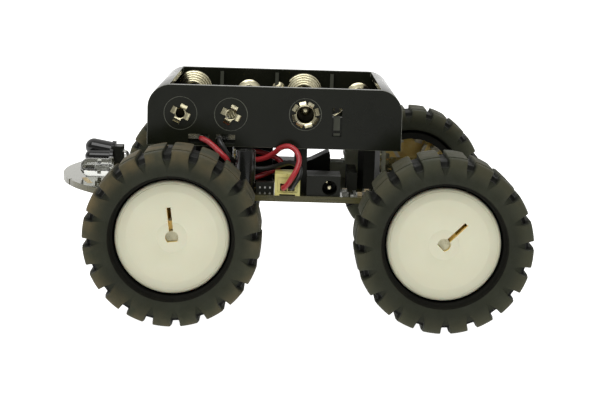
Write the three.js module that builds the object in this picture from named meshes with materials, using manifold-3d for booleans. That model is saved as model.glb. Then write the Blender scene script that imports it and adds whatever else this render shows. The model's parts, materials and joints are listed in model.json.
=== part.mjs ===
// Four wheel robot chassis, in millimetres, +Z up.
// +X is forward (towards the rounded nose of the board) and +Y is the robot's left.
// The origin is on the ground, under the middle of the whole robot.
import * as THREE from 'three';
import { mergeVertices } from 'three/addons/utils/BufferGeometryUtils.js';
import Module from 'manifold-3d';

const wasm = await Module();
wasm.setup();

// ---------- driving dimensions ----------
const wheelBase = 65.2;
const middleX = -6.35;          // half way between the two axles
const halfWidth = 62.5;         // outer plane of a tyre
const axleHeight = 21.5;
const clearance = 0.3;          // gap kept between neighbouring pieces

const tyreRadius = 21.5;
const tyreWidth = 19;
const lugCount = 20;
const lugHeight = 1.25;
const tyreBore = 14.7;
const rimRadius = 13.8;
const rimRecess = 3.8;          // the rim's face lies this far inside the tyre's outer plane
const rimThickness = 1.6;
const rimBarrelRadius = 14.3;
const rimCavityRadius = 12.5;
const rimToothCount = 12;

const shaftRadius = 1.5;
const shaftFlat = 1.0;          // distance from the shaft's axis to its flat
const motorWidth = 12;
const motorHeight = 10;
const gearboxFront = 49;        // distance of the gearbox's front plate from the middle plane
const gearboxLength = 9;
const canLength = 15;

const boardThickness = 1.6;
const boardBottom = 27;
const boardTop = boardBottom + boardThickness;
const boardHalfWidth = 35.2;
const boardEarHalfWidth = 42.2; // the board is wider where it carries a motor
const boardEarHalfLength = 12.6;
const boardRear = -52.5;
const noseRadius = 46.5;
const noseTip = 60;

const trayCentreX = 2.6;
const trayHalfLength = 32.55;
const trayHalfWidth = 28.74;
const trayBottom = 39.8;
const trayTop = 55.4;
const trayWall = 1.5;
const trayCornerRadius = 6;
const cellPitch = 15.88;
const cellAxisHeight = trayBottom + trayWall + 7.3;
const standoffAcross = 5;
const screwHead = 2.7;
const screwNeck = 1.55;
const standoffHalfSpacing = 25;
const standoffY = 18;

// slit and valley turn the rim's slit and a gap between two lugs about the axle, in degrees.
const wheels = [
  { name: 'front_left', axleX: middleX + wheelBase / 2, side: 1, slit: 277, valley: 165.7 },
  { name: 'rear_left', axleX: middleX - wheelBase / 2, side: 1, slit: 225, valley: 164.6 },
  { name: 'front_right', axleX: middleX + wheelBase / 2, side: -1, slit: 120, valley: 6 },
  { name: 'rear_right', axleX: middleX - wheelBase / 2, side: -1, slit: 28, valley: 193.7 },
];

// ---------- small tools ----------
function toSolid(geometry) {
  const bare = geometry.clone();
  bare.deleteAttribute('normal');
  bare.deleteAttribute('uv');
  const merged = mergeVertices(bare, 1e-4);
  return new wasm.Manifold(new wasm.Mesh({
    numProp: 3,
    vertProperties: new Float32Array(merged.attributes.position.array),
    triVerts: new Uint32Array(merged.index.array),
  }));
}

function toGeometry(solid) {
  const mesh = solid.getMesh();
  const geometry = new THREE.BufferGeometry();
  geometry.setAttribute('position', new THREE.BufferAttribute(new Float32Array(mesh.vertProperties), 3));
  geometry.setIndex(new THREE.BufferAttribute(new Uint32Array(mesh.triVerts), 1));
  return geometry;
}

function join(first, ...rest) {
  return rest.reduce((whole, next) => whole.add(next), first);
}

function cut(first, ...rest) {
  return rest.reduce((whole, next) => whole.subtract(next), first);
}

function block(x0, x1, y0, y1, z0, z1) {
  const geometry = new THREE.BoxGeometry(x1 - x0, y1 - y0, z1 - z0);
  geometry.translate((x0 + x1) / 2, (y0 + y1) / 2, (z0 + z1) / 2);
  return toSolid(geometry);
}

// A round rod along Z, from z0 to z1.
function rod(x, y, z0, z1, radius, sides = 24, topRadius = radius) {
  const geometry = new THREE.CylinderGeometry(topRadius, radius, z1 - z0, sides);
  geometry.rotateX(Math.PI / 2);
  geometry.translate(x, y, (z0 + z1) / 2);
  return toSolid(geometry);
}

// A round rod along Y, from y0 to y1.
function rodY(x, z, y0, y1, radius, sides = 24, farRadius = radius) {
  const geometry = new THREE.CylinderGeometry(farRadius, radius, y1 - y0, sides);
  geometry.translate(x, (y0 + y1) / 2, z);
  return toSolid(geometry);
}

// The same box and rod with the two Y values given in either order.
function spanBlock(x0, x1, ya, yb, z0, z1) {
  return block(x0, x1, Math.min(ya, yb), Math.max(ya, yb), z0, z1);
}

function spanRod(x, z, ya, yb, radius, sides) {
  return rodY(x, z, Math.min(ya, yb), Math.max(ya, yb), radius, sides);
}

// A solid of revolution about Z from [radius, z] pairs that close on themselves.
function lathe(profile, sides) {
  const closed = [...profile, profile[0]];
  const geometry = new THREE.LatheGeometry(closed.map(([r, z]) => new THREE.Vector2(r, z)), sides);
  geometry.rotateX(Math.PI / 2);
  return toSolid(geometry);
}

// An outline in the XY plane, extruded from z0 to z1.
function plate(shape, z0, z1, curveSegments = 8) {
  const geometry = new THREE.ExtrudeGeometry(shape, { depth: z1 - z0, bevelEnabled: false, curveSegments });
  geometry.translate(0, 0, z0);
  return toSolid(geometry);
}

// An outline in the XZ plane, extruded from y0 to y1.
function wall(shape, y0, y1, curveSegments = 8) {
  const geometry = new THREE.ExtrudeGeometry(shape, { depth: y1 - y0, bevelEnabled: false, curveSegments });
  geometry.rotateX(Math.PI / 2);
  geometry.translate(0, y1, 0);
  return toSolid(geometry);
}

function polygon(points) {
  return new THREE.Shape(points.map(([x, y]) => new THREE.Vector2(x, y)));
}

const finishes = {
  rubber: [0x2b2c25, 0.85, 0],
  rimPlastic: [0xd9d7be, 0.45, 0],
  steel: [0x9a9a96, 0.35, 0.9],
  brass: [0xb08a3e, 0.35, 0.9],
  canMetal: [0xb9bab8, 0.3, 0.9],
  capPlastic: [0xdedbc9, 0.5, 0],
  blackPlastic: [0x262822, 0.55, 0],
  boardBlack: [0x15160f, 0.25, 0],
  contact: [0xbfb68a, 0.3, 0.9],
  connector: [0xd8d2a0, 0.5, 0],
  sleeve: [0x141512, 0.4, 0],
  redWire: [0xb32028, 0.4, 0],
  blackWire: [0x161613, 0.4, 0],
  clearEpoxy: [0xe8ebe6, 0.1, 0],
  blackEpoxy: [0x101010, 0.15, 0],
};

const group = new THREE.Group();

function piece(name, solid, finish, parent = group) {
  const [color, roughness, metalness] = finishes[finish];
  const material = new THREE.MeshStandardMaterial({ color, roughness, metalness });
  const mesh = new THREE.Mesh(toGeometry(solid), material);
  mesh.name = name;
  parent.add(mesh);
  return mesh;
}

// ---------- wheels ----------
// A wheel is drawn about Z, with its inner plane at z = 0 and its outer plane at z = tyreWidth.
const rimFace = tyreWidth - rimRecess;

// A ring of rubber with blocky lugs that wrap over both shoulders.
function tyreSolid(valleyAngle) {
  const sidewall = 0.8;
  const sidewallRadius = 18;
  const shoulder = 3.2;
  const valleyRadius = tyreRadius - lugHeight;
  const carcass = lathe([
    [tyreBore, sidewall],
    [sidewallRadius, sidewall],
    [valleyRadius, shoulder],
    [valleyRadius, tyreWidth - shoulder],
    [sidewallRadius, tyreWidth - sidewall],
    [tyreBore, tyreWidth - sidewall],
  ], lugCount);
  const lugHalf = 2.1;
  const lugTop = Math.sqrt(tyreRadius ** 2 - lugHalf ** 2);
  const lugOutline = polygon([
    [17.2, 0],
    [lugTop - 1.6, 0],
    [lugTop, 2.7],
    [lugTop, tyreWidth - 2.7],
    [lugTop - 1.6, tyreWidth],
    [17.2, tyreWidth],
  ]);
  const lug = wall(lugOutline, -lugHalf, lugHalf);
  let tyre = carcass;
  for (let index = 0; index < lugCount; index += 1) {
    tyre = tyre.add(lug.rotate([0, 0, (index + 0.5) * 360 / lugCount]));
  }
  return tyre.rotate([0, 0, valleyAngle]);
}

const hubRadius = 3.7;
const hubInner = 8.5;
const slitWidth = 1.1;
const slitLength = 7.3;

// The rim: a dished disc with a hub, a barrel under the tyre, and a ring of teeth inside.
function rimSolid(slitAngle) {
  const barrelInner = 1.4;
  const discInner = rimFace - rimThickness;
  const shell = lathe([
    [0.001, discInner],
    [rimCavityRadius, discInner],
    [rimCavityRadius, barrelInner],
    [rimBarrelRadius, barrelInner],
    [rimBarrelRadius, discInner - 0.6],
    [rimRadius, discInner],
    [rimRadius, rimFace - 0.4],
    [rimRadius - 0.7, rimFace],
    [0.001, rimFace],
  ], 24);
  const hub = rod(0, 0, hubInner, discInner + 0.5, hubRadius, 12);
  const toothFrame = 10.6;
  const tooth = block(toothFrame, rimCavityRadius + 0.3, -1.1, 1.1, 9, discInner + 0.4);
  let rim = shell.add(hub);
  for (let index = 0; index < rimToothCount; index += 1) {
    rim = rim.add(tooth.rotate([0, 0, (index + 0.5) * 360 / rimToothCount]));
  }
  const bore = shaftSolid(hubInner - 1, rimFace + 1, 0.05);
  const slit = block(0, slitLength, -slitWidth / 2, slitWidth / 2, discInner - 1, rimFace + 1);
  return rim.subtract(bore).subtract(slit).rotate([0, 0, slitAngle]);
}

// The D-shaped shaft; its flat lies on the side away from the rim's slit.
function shaftSolid(z0, z1, margin = 0) {
  const round = rod(0, 0, z0, z1, shaftRadius + margin, 16);
  const reach = shaftRadius + 1;
  const flat = block(-reach, -shaftFlat - margin, -reach, reach, z0 - 1, z1 + 1);
  return round.subtract(flat);
}

const gearboxOuter = gearboxFront - (halfWidth - tyreWidth);   // front plate, in wheel coordinates
const gearboxInner = gearboxOuter - gearboxLength;
const plateThickness = 1.2;
const outputGearRadius = 3.9;

function outputShaftSolid(slitAngle) {
  const bearing = gearboxOuter + 1;
  const dPart = shaftSolid(bearing, rimFace);
  const roundPart = rod(0, 0, gearboxInner + 0.4, bearing + 0.01, shaftRadius, 16);
  const gear = rod(0, 0, gearboxOuter - 3.6, gearboxOuter - plateThickness - 0.4, outputGearRadius, 20);
  return join(dPart, roundPart, gear).rotate([0, 0, slitAngle]);
}

// Two brass plates held apart by posts, with round bearings for the output shaft.
function gearboxSolid() {
  const halfX = motorWidth / 2;
  const halfZ = motorHeight / 2;
  const front = block(-halfX, halfX, -halfZ, halfZ, gearboxOuter - plateThickness, gearboxOuter);
  const middleTop = gearboxOuter - 4.2;
  const middle = block(-halfX, halfX, -halfZ, halfZ, middleTop - 0.6, middleTop);
  const back = block(-halfX, halfX, -halfZ, halfZ, gearboxInner, gearboxInner + plateThickness);
  const boss = rod(0, 0, gearboxOuter - 0.2, gearboxOuter + 0.8, 2.1, 16);
  const postX = halfX - 1;
  const postZ = halfZ - 1;
  const postStart = gearboxInner + 0.2;
  const postEnd = gearboxOuter - 0.2;
  const posts = [[postX, postZ], [-postX, -postZ], [postX, -postZ], [-postX, postZ]].map(
    ([x, y]) => rod(x, y, postStart, postEnd, 0.7, 6));
  const bearingHole = rod(0, 0, gearboxInner + 0.2, gearboxOuter + 1.2, shaftRadius + 0.1, 16);
  return cut(join(front, middle, back, boss, ...posts), bearingHole);
}

// The motor's can: a round drum flattened above and below, with the end of its own shaft behind.
const canEnd = gearboxInner - canLength;
const capThickness = 1.3;

function canSolid() {
  const drum = rod(0, 0, canEnd + capThickness, gearboxInner - 0.02, motorWidth / 2, 24);
  const reach = motorWidth;
  const flats = block(-reach, reach, -motorHeight / 2, motorHeight / 2, canEnd, gearboxInner + 1);
  const shaftEnd = rod(0, 0, canEnd - 1.4, canEnd + capThickness + 0.1, 0.5, 8);
  return join(drum.intersect(flats), shaftEnd);
}

// The plastic cap that closes the can and carries the brushes.
function capSolid() {
  const seat = canEnd + capThickness - 0.02;
  const disc = rod(0, 0, canEnd, seat, motorWidth / 2 - 0.4, 20);
  const reach = motorWidth;
  const flats = block(-reach, reach, -motorHeight / 2 + 0.3, motorHeight / 2 - 0.3, canEnd - 1, seat + 1);
  const boss = rod(0, 0, canEnd - 0.9, canEnd + 0.1, 2.2, 12);
  const hole = rod(0, 0, canEnd - 2, seat + 1, 0.65, 8);
  return cut(join(disc.intersect(flats), boss), hole);
}

// The plastic clip that holds a motor up against the board, in wheel coordinates.
function bracketSolid(upwards) {
  const inner = gearboxInner - 6;
  const outer = gearboxInner + 2.6;
  const halfInside = motorWidth / 2 + clearance;
  const halfOutside = halfInside + 1.6;
  const below = -motorHeight / 2 - clearance;
  const topFace = boardBottom - axleHeight - 0.05;
  const flangeHalf = 12;
  const body = block(-halfOutside, halfOutside, below - 1.4, topFace, inner, outer);
  const flanges = block(-flangeHalf, flangeHalf, topFace - 2, topFace, inner, outer);
  const hollow = block(-halfInside, halfInside, below, topFace + 1, inner - 1, outer + 1);
  const middle = (inner + outer) / 2;
  const holes = [-9.6, 9.6].map((x) => {
    const geometry = new THREE.CylinderGeometry(1.1, 1.1, 6, 10);
    geometry.translate(x, topFace - 1, middle);
    return toSolid(geometry);
  });
  const clip = cut(join(body, flanges), hollow, ...holes);
  return upwards ? clip : clip.mirror([0, 1, 0]);
}

// Turns a solid drawn about Z so that its outer end faces the wheel's own side of the robot.
function buildWheel({ name, axleX, side, slit, valley }) {
  const frame = new THREE.Group();
  frame.position.set(axleX, side * (halfWidth - tyreWidth), axleHeight);
  frame.rotation.x = -side * Math.PI / 2;
  group.add(frame);
  piece(`tyre_${name}`, tyreSolid(valley), 'rubber', frame);
  piece(`rim_${name}`, rimSolid(slit), 'rimPlastic', frame);
  piece(`output_shaft_${name}`, outputShaftSolid(slit), 'steel', frame);
  piece(`gearbox_${name}`, gearboxSolid(), 'brass', frame);
  piece(`motor_${name}`, canSolid(), 'canMetal', frame);
  piece(`motor_cap_${name}`, capSolid(), 'capPlastic', frame);
  piece(`motor_bracket_${name}`, bracketSolid(side < 0), 'blackPlastic', frame);
}

// ---------- circuit board ----------
const boardHoles = [];
const standoffPlaces = [];
for (const alongX of [1, -1]) {
  for (const side of [1, -1]) {
    standoffPlaces.push([trayCentreX + alongX * standoffHalfSpacing, side * standoffY]);
  }
}
for (const [x, y] of standoffPlaces) {
  boardHoles.push([x, y, 1.6]);
}
for (const { axleX, side } of wheels) {
  const holeY = side * (halfWidth - tyreWidth + gearboxInner - 1.7);
  boardHoles.push([axleX - 9.6, holeY, 1.1]);
  boardHoles.push([axleX + 9.6, holeY, 1.1]);
}

function boardSolid() {
  const noseCentre = noseTip - noseRadius;
  const noseAngle = Math.asin(boardHalfWidth / noseRadius);
  const corner = 3;
  const shape = new THREE.Shape();
  shape.absarc(noseCentre, 0, noseRadius, -noseAngle, noseAngle, false);
  for (const { axleX, side } of [wheels[0], wheels[1]]) {
    shape.lineTo(axleX + boardEarHalfLength + 1.5, side * boardHalfWidth);
    shape.lineTo(axleX + boardEarHalfLength, side * boardEarHalfWidth);
    shape.lineTo(axleX - boardEarHalfLength, side * boardEarHalfWidth);
    shape.lineTo(axleX - boardEarHalfLength - 1.5, side * boardHalfWidth);
  }
  shape.lineTo(boardRear, boardHalfWidth - corner);
  shape.lineTo(boardRear, -boardHalfWidth + corner);
  for (const { axleX, side } of [wheels[3], wheels[2]]) {
    shape.lineTo(axleX - boardEarHalfLength - 1.5, side * boardHalfWidth);
    shape.lineTo(axleX - boardEarHalfLength, side * boardEarHalfWidth);
    shape.lineTo(axleX + boardEarHalfLength, side * boardEarHalfWidth);
    shape.lineTo(axleX + boardEarHalfLength + 1.5, side * boardHalfWidth);
  }
  const holes = boardHoles.map(([x, y, radius]) => rod(x, y, boardBottom - 1, boardTop + 1, radius, 10));
  return cut(plate(shape, boardBottom, boardTop, 30), ...holes);
}

// ---------- battery tray ----------
function trayOutline(inset, floor, roof) {
  const left = trayCentreX - trayHalfLength + inset;
  const right = trayCentreX + trayHalfLength - inset;
  const radius = trayCornerRadius - inset;
  const shape = new THREE.Shape();
  shape.moveTo(left, floor);
  shape.lineTo(right, floor);
  shape.lineTo(right, roof - radius);
  shape.absarc(right - radius, roof - radius, radius, 0, Math.PI / 2, false);
  shape.absarc(left + radius, roof - radius, radius, Math.PI / 2, Math.PI, false);
  return shape;
}

const strapLow = cellAxisHeight - 5.2;
const strapHigh = strapLow + 2.4;
const slotX = trayCentreX - 15.95;
const windowLow = 40.6;
const windowHigh = 42.9;
const windows = [[12.6, 17.5], [19.3, 24.6]];
const starX = [26.7, 13.8];
const starZ = 48.1;
const eyeletX = -5.2;
const eyeletZ = 48.6;

function traySolid() {
  const innerEnd = trayHalfWidth - trayWall;
  const outer = wall(trayOutline(0, trayBottom, trayTop), -trayHalfWidth, trayHalfWidth, 7);
  const inside = trayOutline(trayWall, trayBottom + trayWall, trayTop - trayWall);
  const hollow = wall(inside, -innerEnd, innerEnd, 7);
  const mouthHalf = trayHalfLength - trayCornerRadius + 0.6;
  const mouth = block(trayCentreX - mouthHalf, trayCentreX + mouthHalf, -innerEnd, innerEnd,
    trayTop - 4, trayTop + 1);
  let tray = cut(outer, hollow, mouth);
  for (const step of [-1, 0, 1]) {
    const x = trayCentreX + step * cellPitch;
    const ridge = block(x - 0.6, x + 0.6, -innerEnd - 0.2, innerEnd + 0.2,
      trayBottom + 1, trayBottom + 5.2);
    tray = tray.add(ridge);
    for (const end of [-1, 1]) {
      const rib = spanBlock(x - 0.6, x + 0.6, end * (innerEnd + 0.2), end * (innerEnd - 1.1),
        trayBottom + 1, trayTop - 0.6);
      tray = tray.add(rib);
    }
  }
  const out = trayHalfWidth + 1;
  const strapNotches = [[1, -1], [-1, -1], [0, 1]].map(([place, end]) => {
    const x = trayCentreX + place * cellPitch;
    return spanBlock(x - 2, x + 2, end * (innerEnd - 1), end * (innerEnd - 0.01),
      strapLow - clearance, strapHigh + clearance);
  });
  tray = cut(tray, ...strapNotches);
  const cuts = windows.map(([x0, x1]) => block(x0, x1, innerEnd - 1.5, out, windowLow, windowHigh));
  cuts.push(block(slotX - 1.3, slotX + 1.3, innerEnd - 1.5, out, 43.3, 50.4));
  for (const x of starX) {
    cuts.push(rodY(x, starZ, innerEnd - 1.5, out, 1.55, 18));
  }
  cuts.push(rodY(eyeletX, eyeletZ, innerEnd - 1.5, out, 2.55, 20));
  for (const [x, y] of standoffPlaces) {
    cuts.push(rod(x, y, trayBottom - 0.5, trayBottom + trayWall + 0.1, screwNeck, 14, screwHead + 0.35));
  }
  return cut(tray, ...cuts);
}

// A conical coil spring drawn as a stack of thin steps, the wide end on the wall.
const springRadius = 5.35;
const springTaper = 0.75;        // the radius shrinks by this much with every turn
const buttonRadius = 3.7;
const buttonHeight = 1.6;

function springSolid(x, wallY, inwards) {
  const turns = 4;
  const step = 1.5;
  let spring = null;
  for (let turn = 0; turn < turns; turn += 1) {
    const radius = springRadius - turn * springTaper;
    const near = wallY + inwards * (0.05 + turn * step);
    const ring = spanRod(x, cellAxisHeight, near, near + inwards * (step + 0.05), radius, 14);
    spring = spring ? spring.add(ring) : ring;
  }
  const core = spanRod(x, cellAxisHeight, wallY, wallY + inwards * 9, 1.1, 8);
  return spring.subtract(core);
}

// The cell each contact serves, counted in cell pitches from the middle of the tray.
const contacts = [
  { name: 'far_front', end: -1, cells: [{ place: 1.5, kind: 'spring' }, { place: 0.5, kind: 'button' }] },
  { name: 'far_rear', end: -1, cells: [{ place: -0.5, kind: 'spring' }, { place: -1.5, kind: 'button' }] },
  { name: 'near_plus', end: 1, cells: [{ place: 1.5, kind: 'button' }] },
  { name: 'near_middle', end: 1, cells: [{ place: 0.5, kind: 'spring' }, { place: -0.5, kind: 'button' }] },
  { name: 'near_minus', end: 1, cells: [{ place: -1.5, kind: 'spring' }] },
];

// The hollow rivets run on a little way into the contacts behind them.
const starHoleRadius = 1.1;
const eyeletHoleRadius = 2.1;

function openBehindRivets(contact, wallFace) {
  const from = wallFace + 0.5;
  const to = wallFace - 1.7;
  const starHoles = starX.map((x) => rodY(x, starZ, to, from, starHoleRadius, 12));
  const eyeletHole = rodY(eyeletX, eyeletZ, to, from, eyeletHoleRadius, 12);
  return cut(contact, ...starHoles, eyeletHole);
}

// A contact plate against an end wall, with a spring on some cells and a button on others.
function contactSolid(end, cells) {
  const wallFace = end * (trayHalfWidth - trayWall - 0.1);
  const plateFace = wallFace - end * 0.5;
  const low = strapLow;
  const high = cellAxisHeight + 1.5;
  let contact = null;
  for (const { place, kind } of cells) {
    const x = trayCentreX + place * cellPitch;
    const sheet = spanBlock(x - 5.6, x + 5.6, wallFace, plateFace, low, high);
    const start = plateFace + end * 0.05;
    const tip = kind === 'spring'
      ? springSolid(x, start, -end)
      : spanRod(x, cellAxisHeight, start, start - end * buttonHeight, buttonRadius, 16);
    contact = contact ? contact.add(sheet).add(tip) : sheet.add(tip);
  }
  if (cells.length === 2) {
    const from = trayCentreX + cells[0].place * cellPitch;
    const to = trayCentreX + cells[1].place * cellPitch;
    const strap = block(Math.min(from, to), Math.max(from, to), Math.min(wallFace, plateFace),
      Math.max(wallFace, plateFace), low, strapHigh);
    contact = contact.add(strap);
  }
  return end > 0 ? openBehindRivets(contact, wallFace) : contact;
}

// A flared rivet whose end is split into square petals, seen on the outside of the wall.
function petalRivet({ x, z, petals, first, reach, petalWidth, holeRadius, shankRadius }) {
  const face = trayHalfWidth;
  const backFace = face - trayWall - 0.05;
  const petalFoot = face + 0.06;
  const petalTop = face + 0.5;
  const shank = rodY(x, z, backFace, face + 0.3, shankRadius, 14);
  const flange = rodY(x, z, petalFoot, petalTop, reach * 0.68, 14);
  let rivet = shank.add(flange);
  for (let index = 0; index < petals; index += 1) {
    const petal = block(0, reach, petalFoot, petalTop, -petalWidth / 2, petalWidth / 2);
    rivet = rivet.add(petal.rotate([0, first + index * 360 / petals, 0]).translate([x, 0, z]));
  }
  return rivet.subtract(rodY(x, z, backFace - 1, face + 2, holeRadius, 12));
}

function starRivet(x) {
  return petalRivet({
    x, z: starZ, petals: 4, first: 60, reach: 2.75, petalWidth: 1.9,
    holeRadius: starHoleRadius, shankRadius: 1.4,
  });
}

function crownEyelet() {
  return petalRivet({
    x: eyeletX, z: eyeletZ, petals: 8, first: 15, reach: 3.6, petalWidth: 1.7,
    holeRadius: eyeletHoleRadius, shankRadius: 2.45,
  });
}

// ---------- standoffs and screws ----------
function standoffSolid(x, y) {
  const body = rod(x, y, boardTop + 0.02, trayBottom - 0.02, standoffAcross / Math.sqrt(3), 6);
  const stud = rod(x, y, boardBottom - 3.4, boardTop + 0.5, 1.45, 10);
  const nut = rod(x, y, boardBottom - 2.5, boardBottom - 0.1, 5.5 / Math.sqrt(3), 6);
  const tapped = rod(x, y, trayBottom - 6, trayBottom + 1, 1.4, 10);
  return join(body, stud, nut).subtract(tapped);
}

// A countersunk screw whose head lies flush with the tray's floor.
function screwSolid(x, y) {
  const flush = trayBottom + trayWall - 0.05;
  const head = rod(x, y, trayBottom + 0.1, flush, 1.25, 14, screwHead);
  const shank = rod(x, y, trayBottom - 4.5, trayBottom + 0.2, 1.25, 10);
  const slotA = block(x - 1.5, x + 1.5, y - 0.3, y + 0.3, flush - 0.7, flush + 1);
  const slotB = block(x - 0.3, x + 0.3, y - 1.5, y + 1.5, flush - 0.7, flush + 1);
  return cut(join(head, shank), slotA, slotB);
}

// ---------- parts on the board ----------
const seatZ = boardTop + 0.02;

function capacitorSolid() {
  const x = 9.7;
  const y = 31.6;
  const can = rod(x, y, seatZ, seatZ + 10.9, 2.5, 20);
  const neck = lathe([[2.25, seatZ + 1.3], [3, seatZ + 1.3], [3, seatZ + 1.9], [2.25, seatZ + 1.9]], 20);
  const dish = rod(x, y, seatZ + 10.6, seatZ + 12, 2, 16);
  return cut(can, neck.translate([x, y, 0]), dish);
}

// A low socket strip with one pin hole after another in its outer face.
function pinSocketSolid() {
  const pitch = 1.27;
  const start = 2.3;
  const end = 6.9;
  const y = 30.6;
  let socket = block(start, end, y - 1.25, y + 1.25, seatZ, seatZ + 2.7);
  for (let x = start + 1.03; x < end - 0.5; x += pitch) {
    socket = socket.subtract(block(x - 0.3, x + 0.3, y + 0.7, y + 2, seatZ + 1, seatZ + 1.7));
  }
  return socket;
}

// A taller strip of square holes beside the rear left standoff.
function expansionSocketSolid() {
  const pitch = 2.54;
  const x0 = -19.2;
  const x1 = -16.7;
  const y0 = 8.6;
  const count = 6;
  const top = seatZ + 4.6;
  let socket = block(x0, x1, y0, y0 + count * pitch, seatZ, top);
  for (let index = 0; index < count; index += 1) {
    const y = y0 + (index + 0.5) * pitch;
    const x = (x0 + x1) / 2;
    socket = socket.subtract(block(x - 0.35, x + 0.35, y - 0.35, y + 0.35, top - 3, top + 1));
  }
  return socket;
}

// The two-way shrouded header; its mouth faces the robot's left edge.
const headerX = -1.1;
const headerHalf = 3.2;
const headerTop = seatZ + 5.5;
const headerFront = 35.6;
const headerBack = 27.4;

function headerSolid() {
  const left = headerX - headerHalf;
  const right = headerX + headerHalf;
  const shell = block(left, right, headerBack, headerFront, seatZ, headerTop);
  const mouth = block(left + 0.6, right - 0.6, headerBack + 2, headerFront + 1,
    seatZ + 0.8, headerTop - 0.8);
  const notch = block(headerX - 1.6, headerX + 1.6, headerFront - 1.4, headerFront + 1,
    headerTop - 1.2, headerTop + 1);
  const relief = block(headerX - 1.9, headerX + 1.9, headerBack - 1, headerFront + 1,
    seatZ - 1, seatZ + 0.3);
  return cut(shell, mouth, notch, relief);
}

const plugFace = headerFront - 0.2;
const leadHoles = [headerX + 1, headerX - 1];
const leadHoleZ = seatZ + 2.1;

function plugSolid() {
  const side = headerHalf - 0.7;
  const body = block(headerX - side, headerX + side, headerBack + 2.2, plugFace,
    seatZ + 0.9, headerTop - 1.4);
  const holes = leadHoles.map((x) => rodY(x, leadHoleZ, plugFace - 2.5, plugFace + 1, 0.85, 12));
  return cut(body, ...holes);
}

const jackX0 = -14.55;
const jackX1 = -5.95;
const jackFront = 34.6;
const jackHoleX = -11.8;
const jackHoleZ = seatZ + 2.05;

function jackSolid() {
  const body = block(jackX0, jackX1, jackFront - 9.8, jackFront, seatZ, seatZ + 5.1);
  const tab = block(jackX0 + 0.4, jackX0 + 1.4, jackFront - 2.6, jackFront - 1.2, seatZ + 5, seatZ + 5.9);
  const bore = rodY(jackHoleX, jackHoleZ, jackFront - 7.5, jackFront + 1, 1.9, 24);
  return cut(join(body, tab), bore);
}

function jackPinSolid() {
  const stem = rodY(jackHoleX, jackHoleZ, jackFront - 7.45, jackFront - 1.6, 0.65, 14);
  const nose = rodY(jackHoleX, jackHoleZ, jackFront - 1.61, jackFront - 1.1, 0.65, 14, 0.4);
  return stem.add(nose);
}

// A 5 mm through-hole lamp body lying down, with its dome forward and its leads bent into the board.
function lampSolid(x, y, z, length) {
  const radius = 2.45;
  const flange = radius + 0.4;
  const profile = [[0.001, 0], [flange, 0], [flange, 1], [radius, 1], [radius, length - radius]];
  for (let step = 1; step < 4; step += 1) {
    const angle = step * Math.PI / 8;
    profile.push([radius * Math.cos(angle), length - radius + radius * Math.sin(angle)]);
  }
  profile.push([0.001, length]);
  const body = lathe(profile, 16).rotate([0, 90, 0]).translate([x, y, z]);
  const floor = block(x - 1, x + 1.1, y - 4, y + 4, z - 4, z - radius);
  return body.subtract(floor);
}

// The receiver is the same lamp body with a square collar behind it that stands on the board.
function receiverSolid(x, y, z, length) {
  const collar = block(x - 2.3, x + 0.2, y - 2.9, y + 2.9, seatZ, z + 2.2);
  return lampSolid(x, y, z, length).add(collar);
}

function chipSolid(x, y, half, height) {
  const long = half + 0.9;
  const short = half - 0.6;
  const top = seatZ + 0.25;
  const body = block(x - half, x + half, y - half, y + half, seatZ + 0.1, seatZ + height);
  const legsAlongX = block(x - long, x + long, y - short, y + short, seatZ, top);
  const legsAlongY = block(x - short, x + short, y - long, y + long, seatZ, top);
  return join(body, legsAlongX, legsAlongY);
}

// A flat metal can with rounded ends on a slightly wider base.
function crystalSolid(x, y) {
  const outline = (halfWide, halfLong) => {
    const shape = new THREE.Shape();
    shape.absarc(x, y + halfLong - halfWide, halfWide, 0, Math.PI, false);
    shape.absarc(x, y - halfLong + halfWide, halfWide, Math.PI, 2 * Math.PI, false);
    return shape;
  };
  const base = plate(outline(2.3, 5.6), seatZ, seatZ + 0.6, 6);
  return base.add(plate(outline(1.95, 5.2), seatZ + 0.5, seatZ + 3.5, 6));
}

// ---------- battery leads ----------
// The leads run from the plug, over the front of the tray, behind the capacitor and into the tray's window.
const leadRadius = 0.68;
const redRoute = [
  [leadHoles[0], plugFace - 2.2, leadHoleZ], [leadHoles[0], 36.6, leadHoleZ], [-0.9, 37.4, 31.6],
  [-2.2, 37.6, 33.6], [-3.4, 37.1, 35.8], [-3.9, 35.9, 38.0], [-3.0, 34.4, 40.0], [-1.2, 33.2, 40.9],
  [0.8, 31.7, 40.3], [2.6, 29.9, 38.6], [4.8, 28.0, 37.1], [7.2, 26.6, 36.4], [9.6, 25.8, 36.7],
  [10.4, 24.6, 37.4], [8.6, 23.8, 38.1], [5.4, 23.6, 37.8], [1.9, 24.0, 36.6], [0.6, 24.8, 35.4],
  [2.2, 25.6, 33.8], [5.8, 26.4, 32.2], [9.0, 26.8, 31.4], [11.6, 27.4, 31.9], [13.2, 28.8, 33.4],
  [14.0, 31.0, 35.6], [14.5, 32.4, 37.1], [15.8, 32.4, 38.4], [17.6, 31.4, 39.9], [19.4, 30.4, 41.2],
  [20.7, 29.7, 41.7], [21.2, 28.8, 41.75], [21.2, 27.5, 41.75],
];
const blackRoute = [
  [leadHoles[1], plugFace - 2.2, leadHoleZ], [leadHoles[1], 36.4, leadHoleZ], [-2.8, 36.9, 31.9],
  [-4.0, 36.6, 33.9], [-4.0, 35.2, 35.9], [-1.8, 32.0, 36.6], [0.4, 30.2, 35.8], [2.8, 28.8, 34.8],
  [5.6, 28.0, 34.2], [8.6, 27.7, 34.4], [11.4, 28.2, 35.2], [13.2, 29.4, 36.6], [14.5, 30.4, 38.1],
  [15.5, 30.4, 39.8], [16.3, 29.9, 41.0], [16.6, 29.0, 41.7], [16.6, 27.5, 41.75],
];

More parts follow.
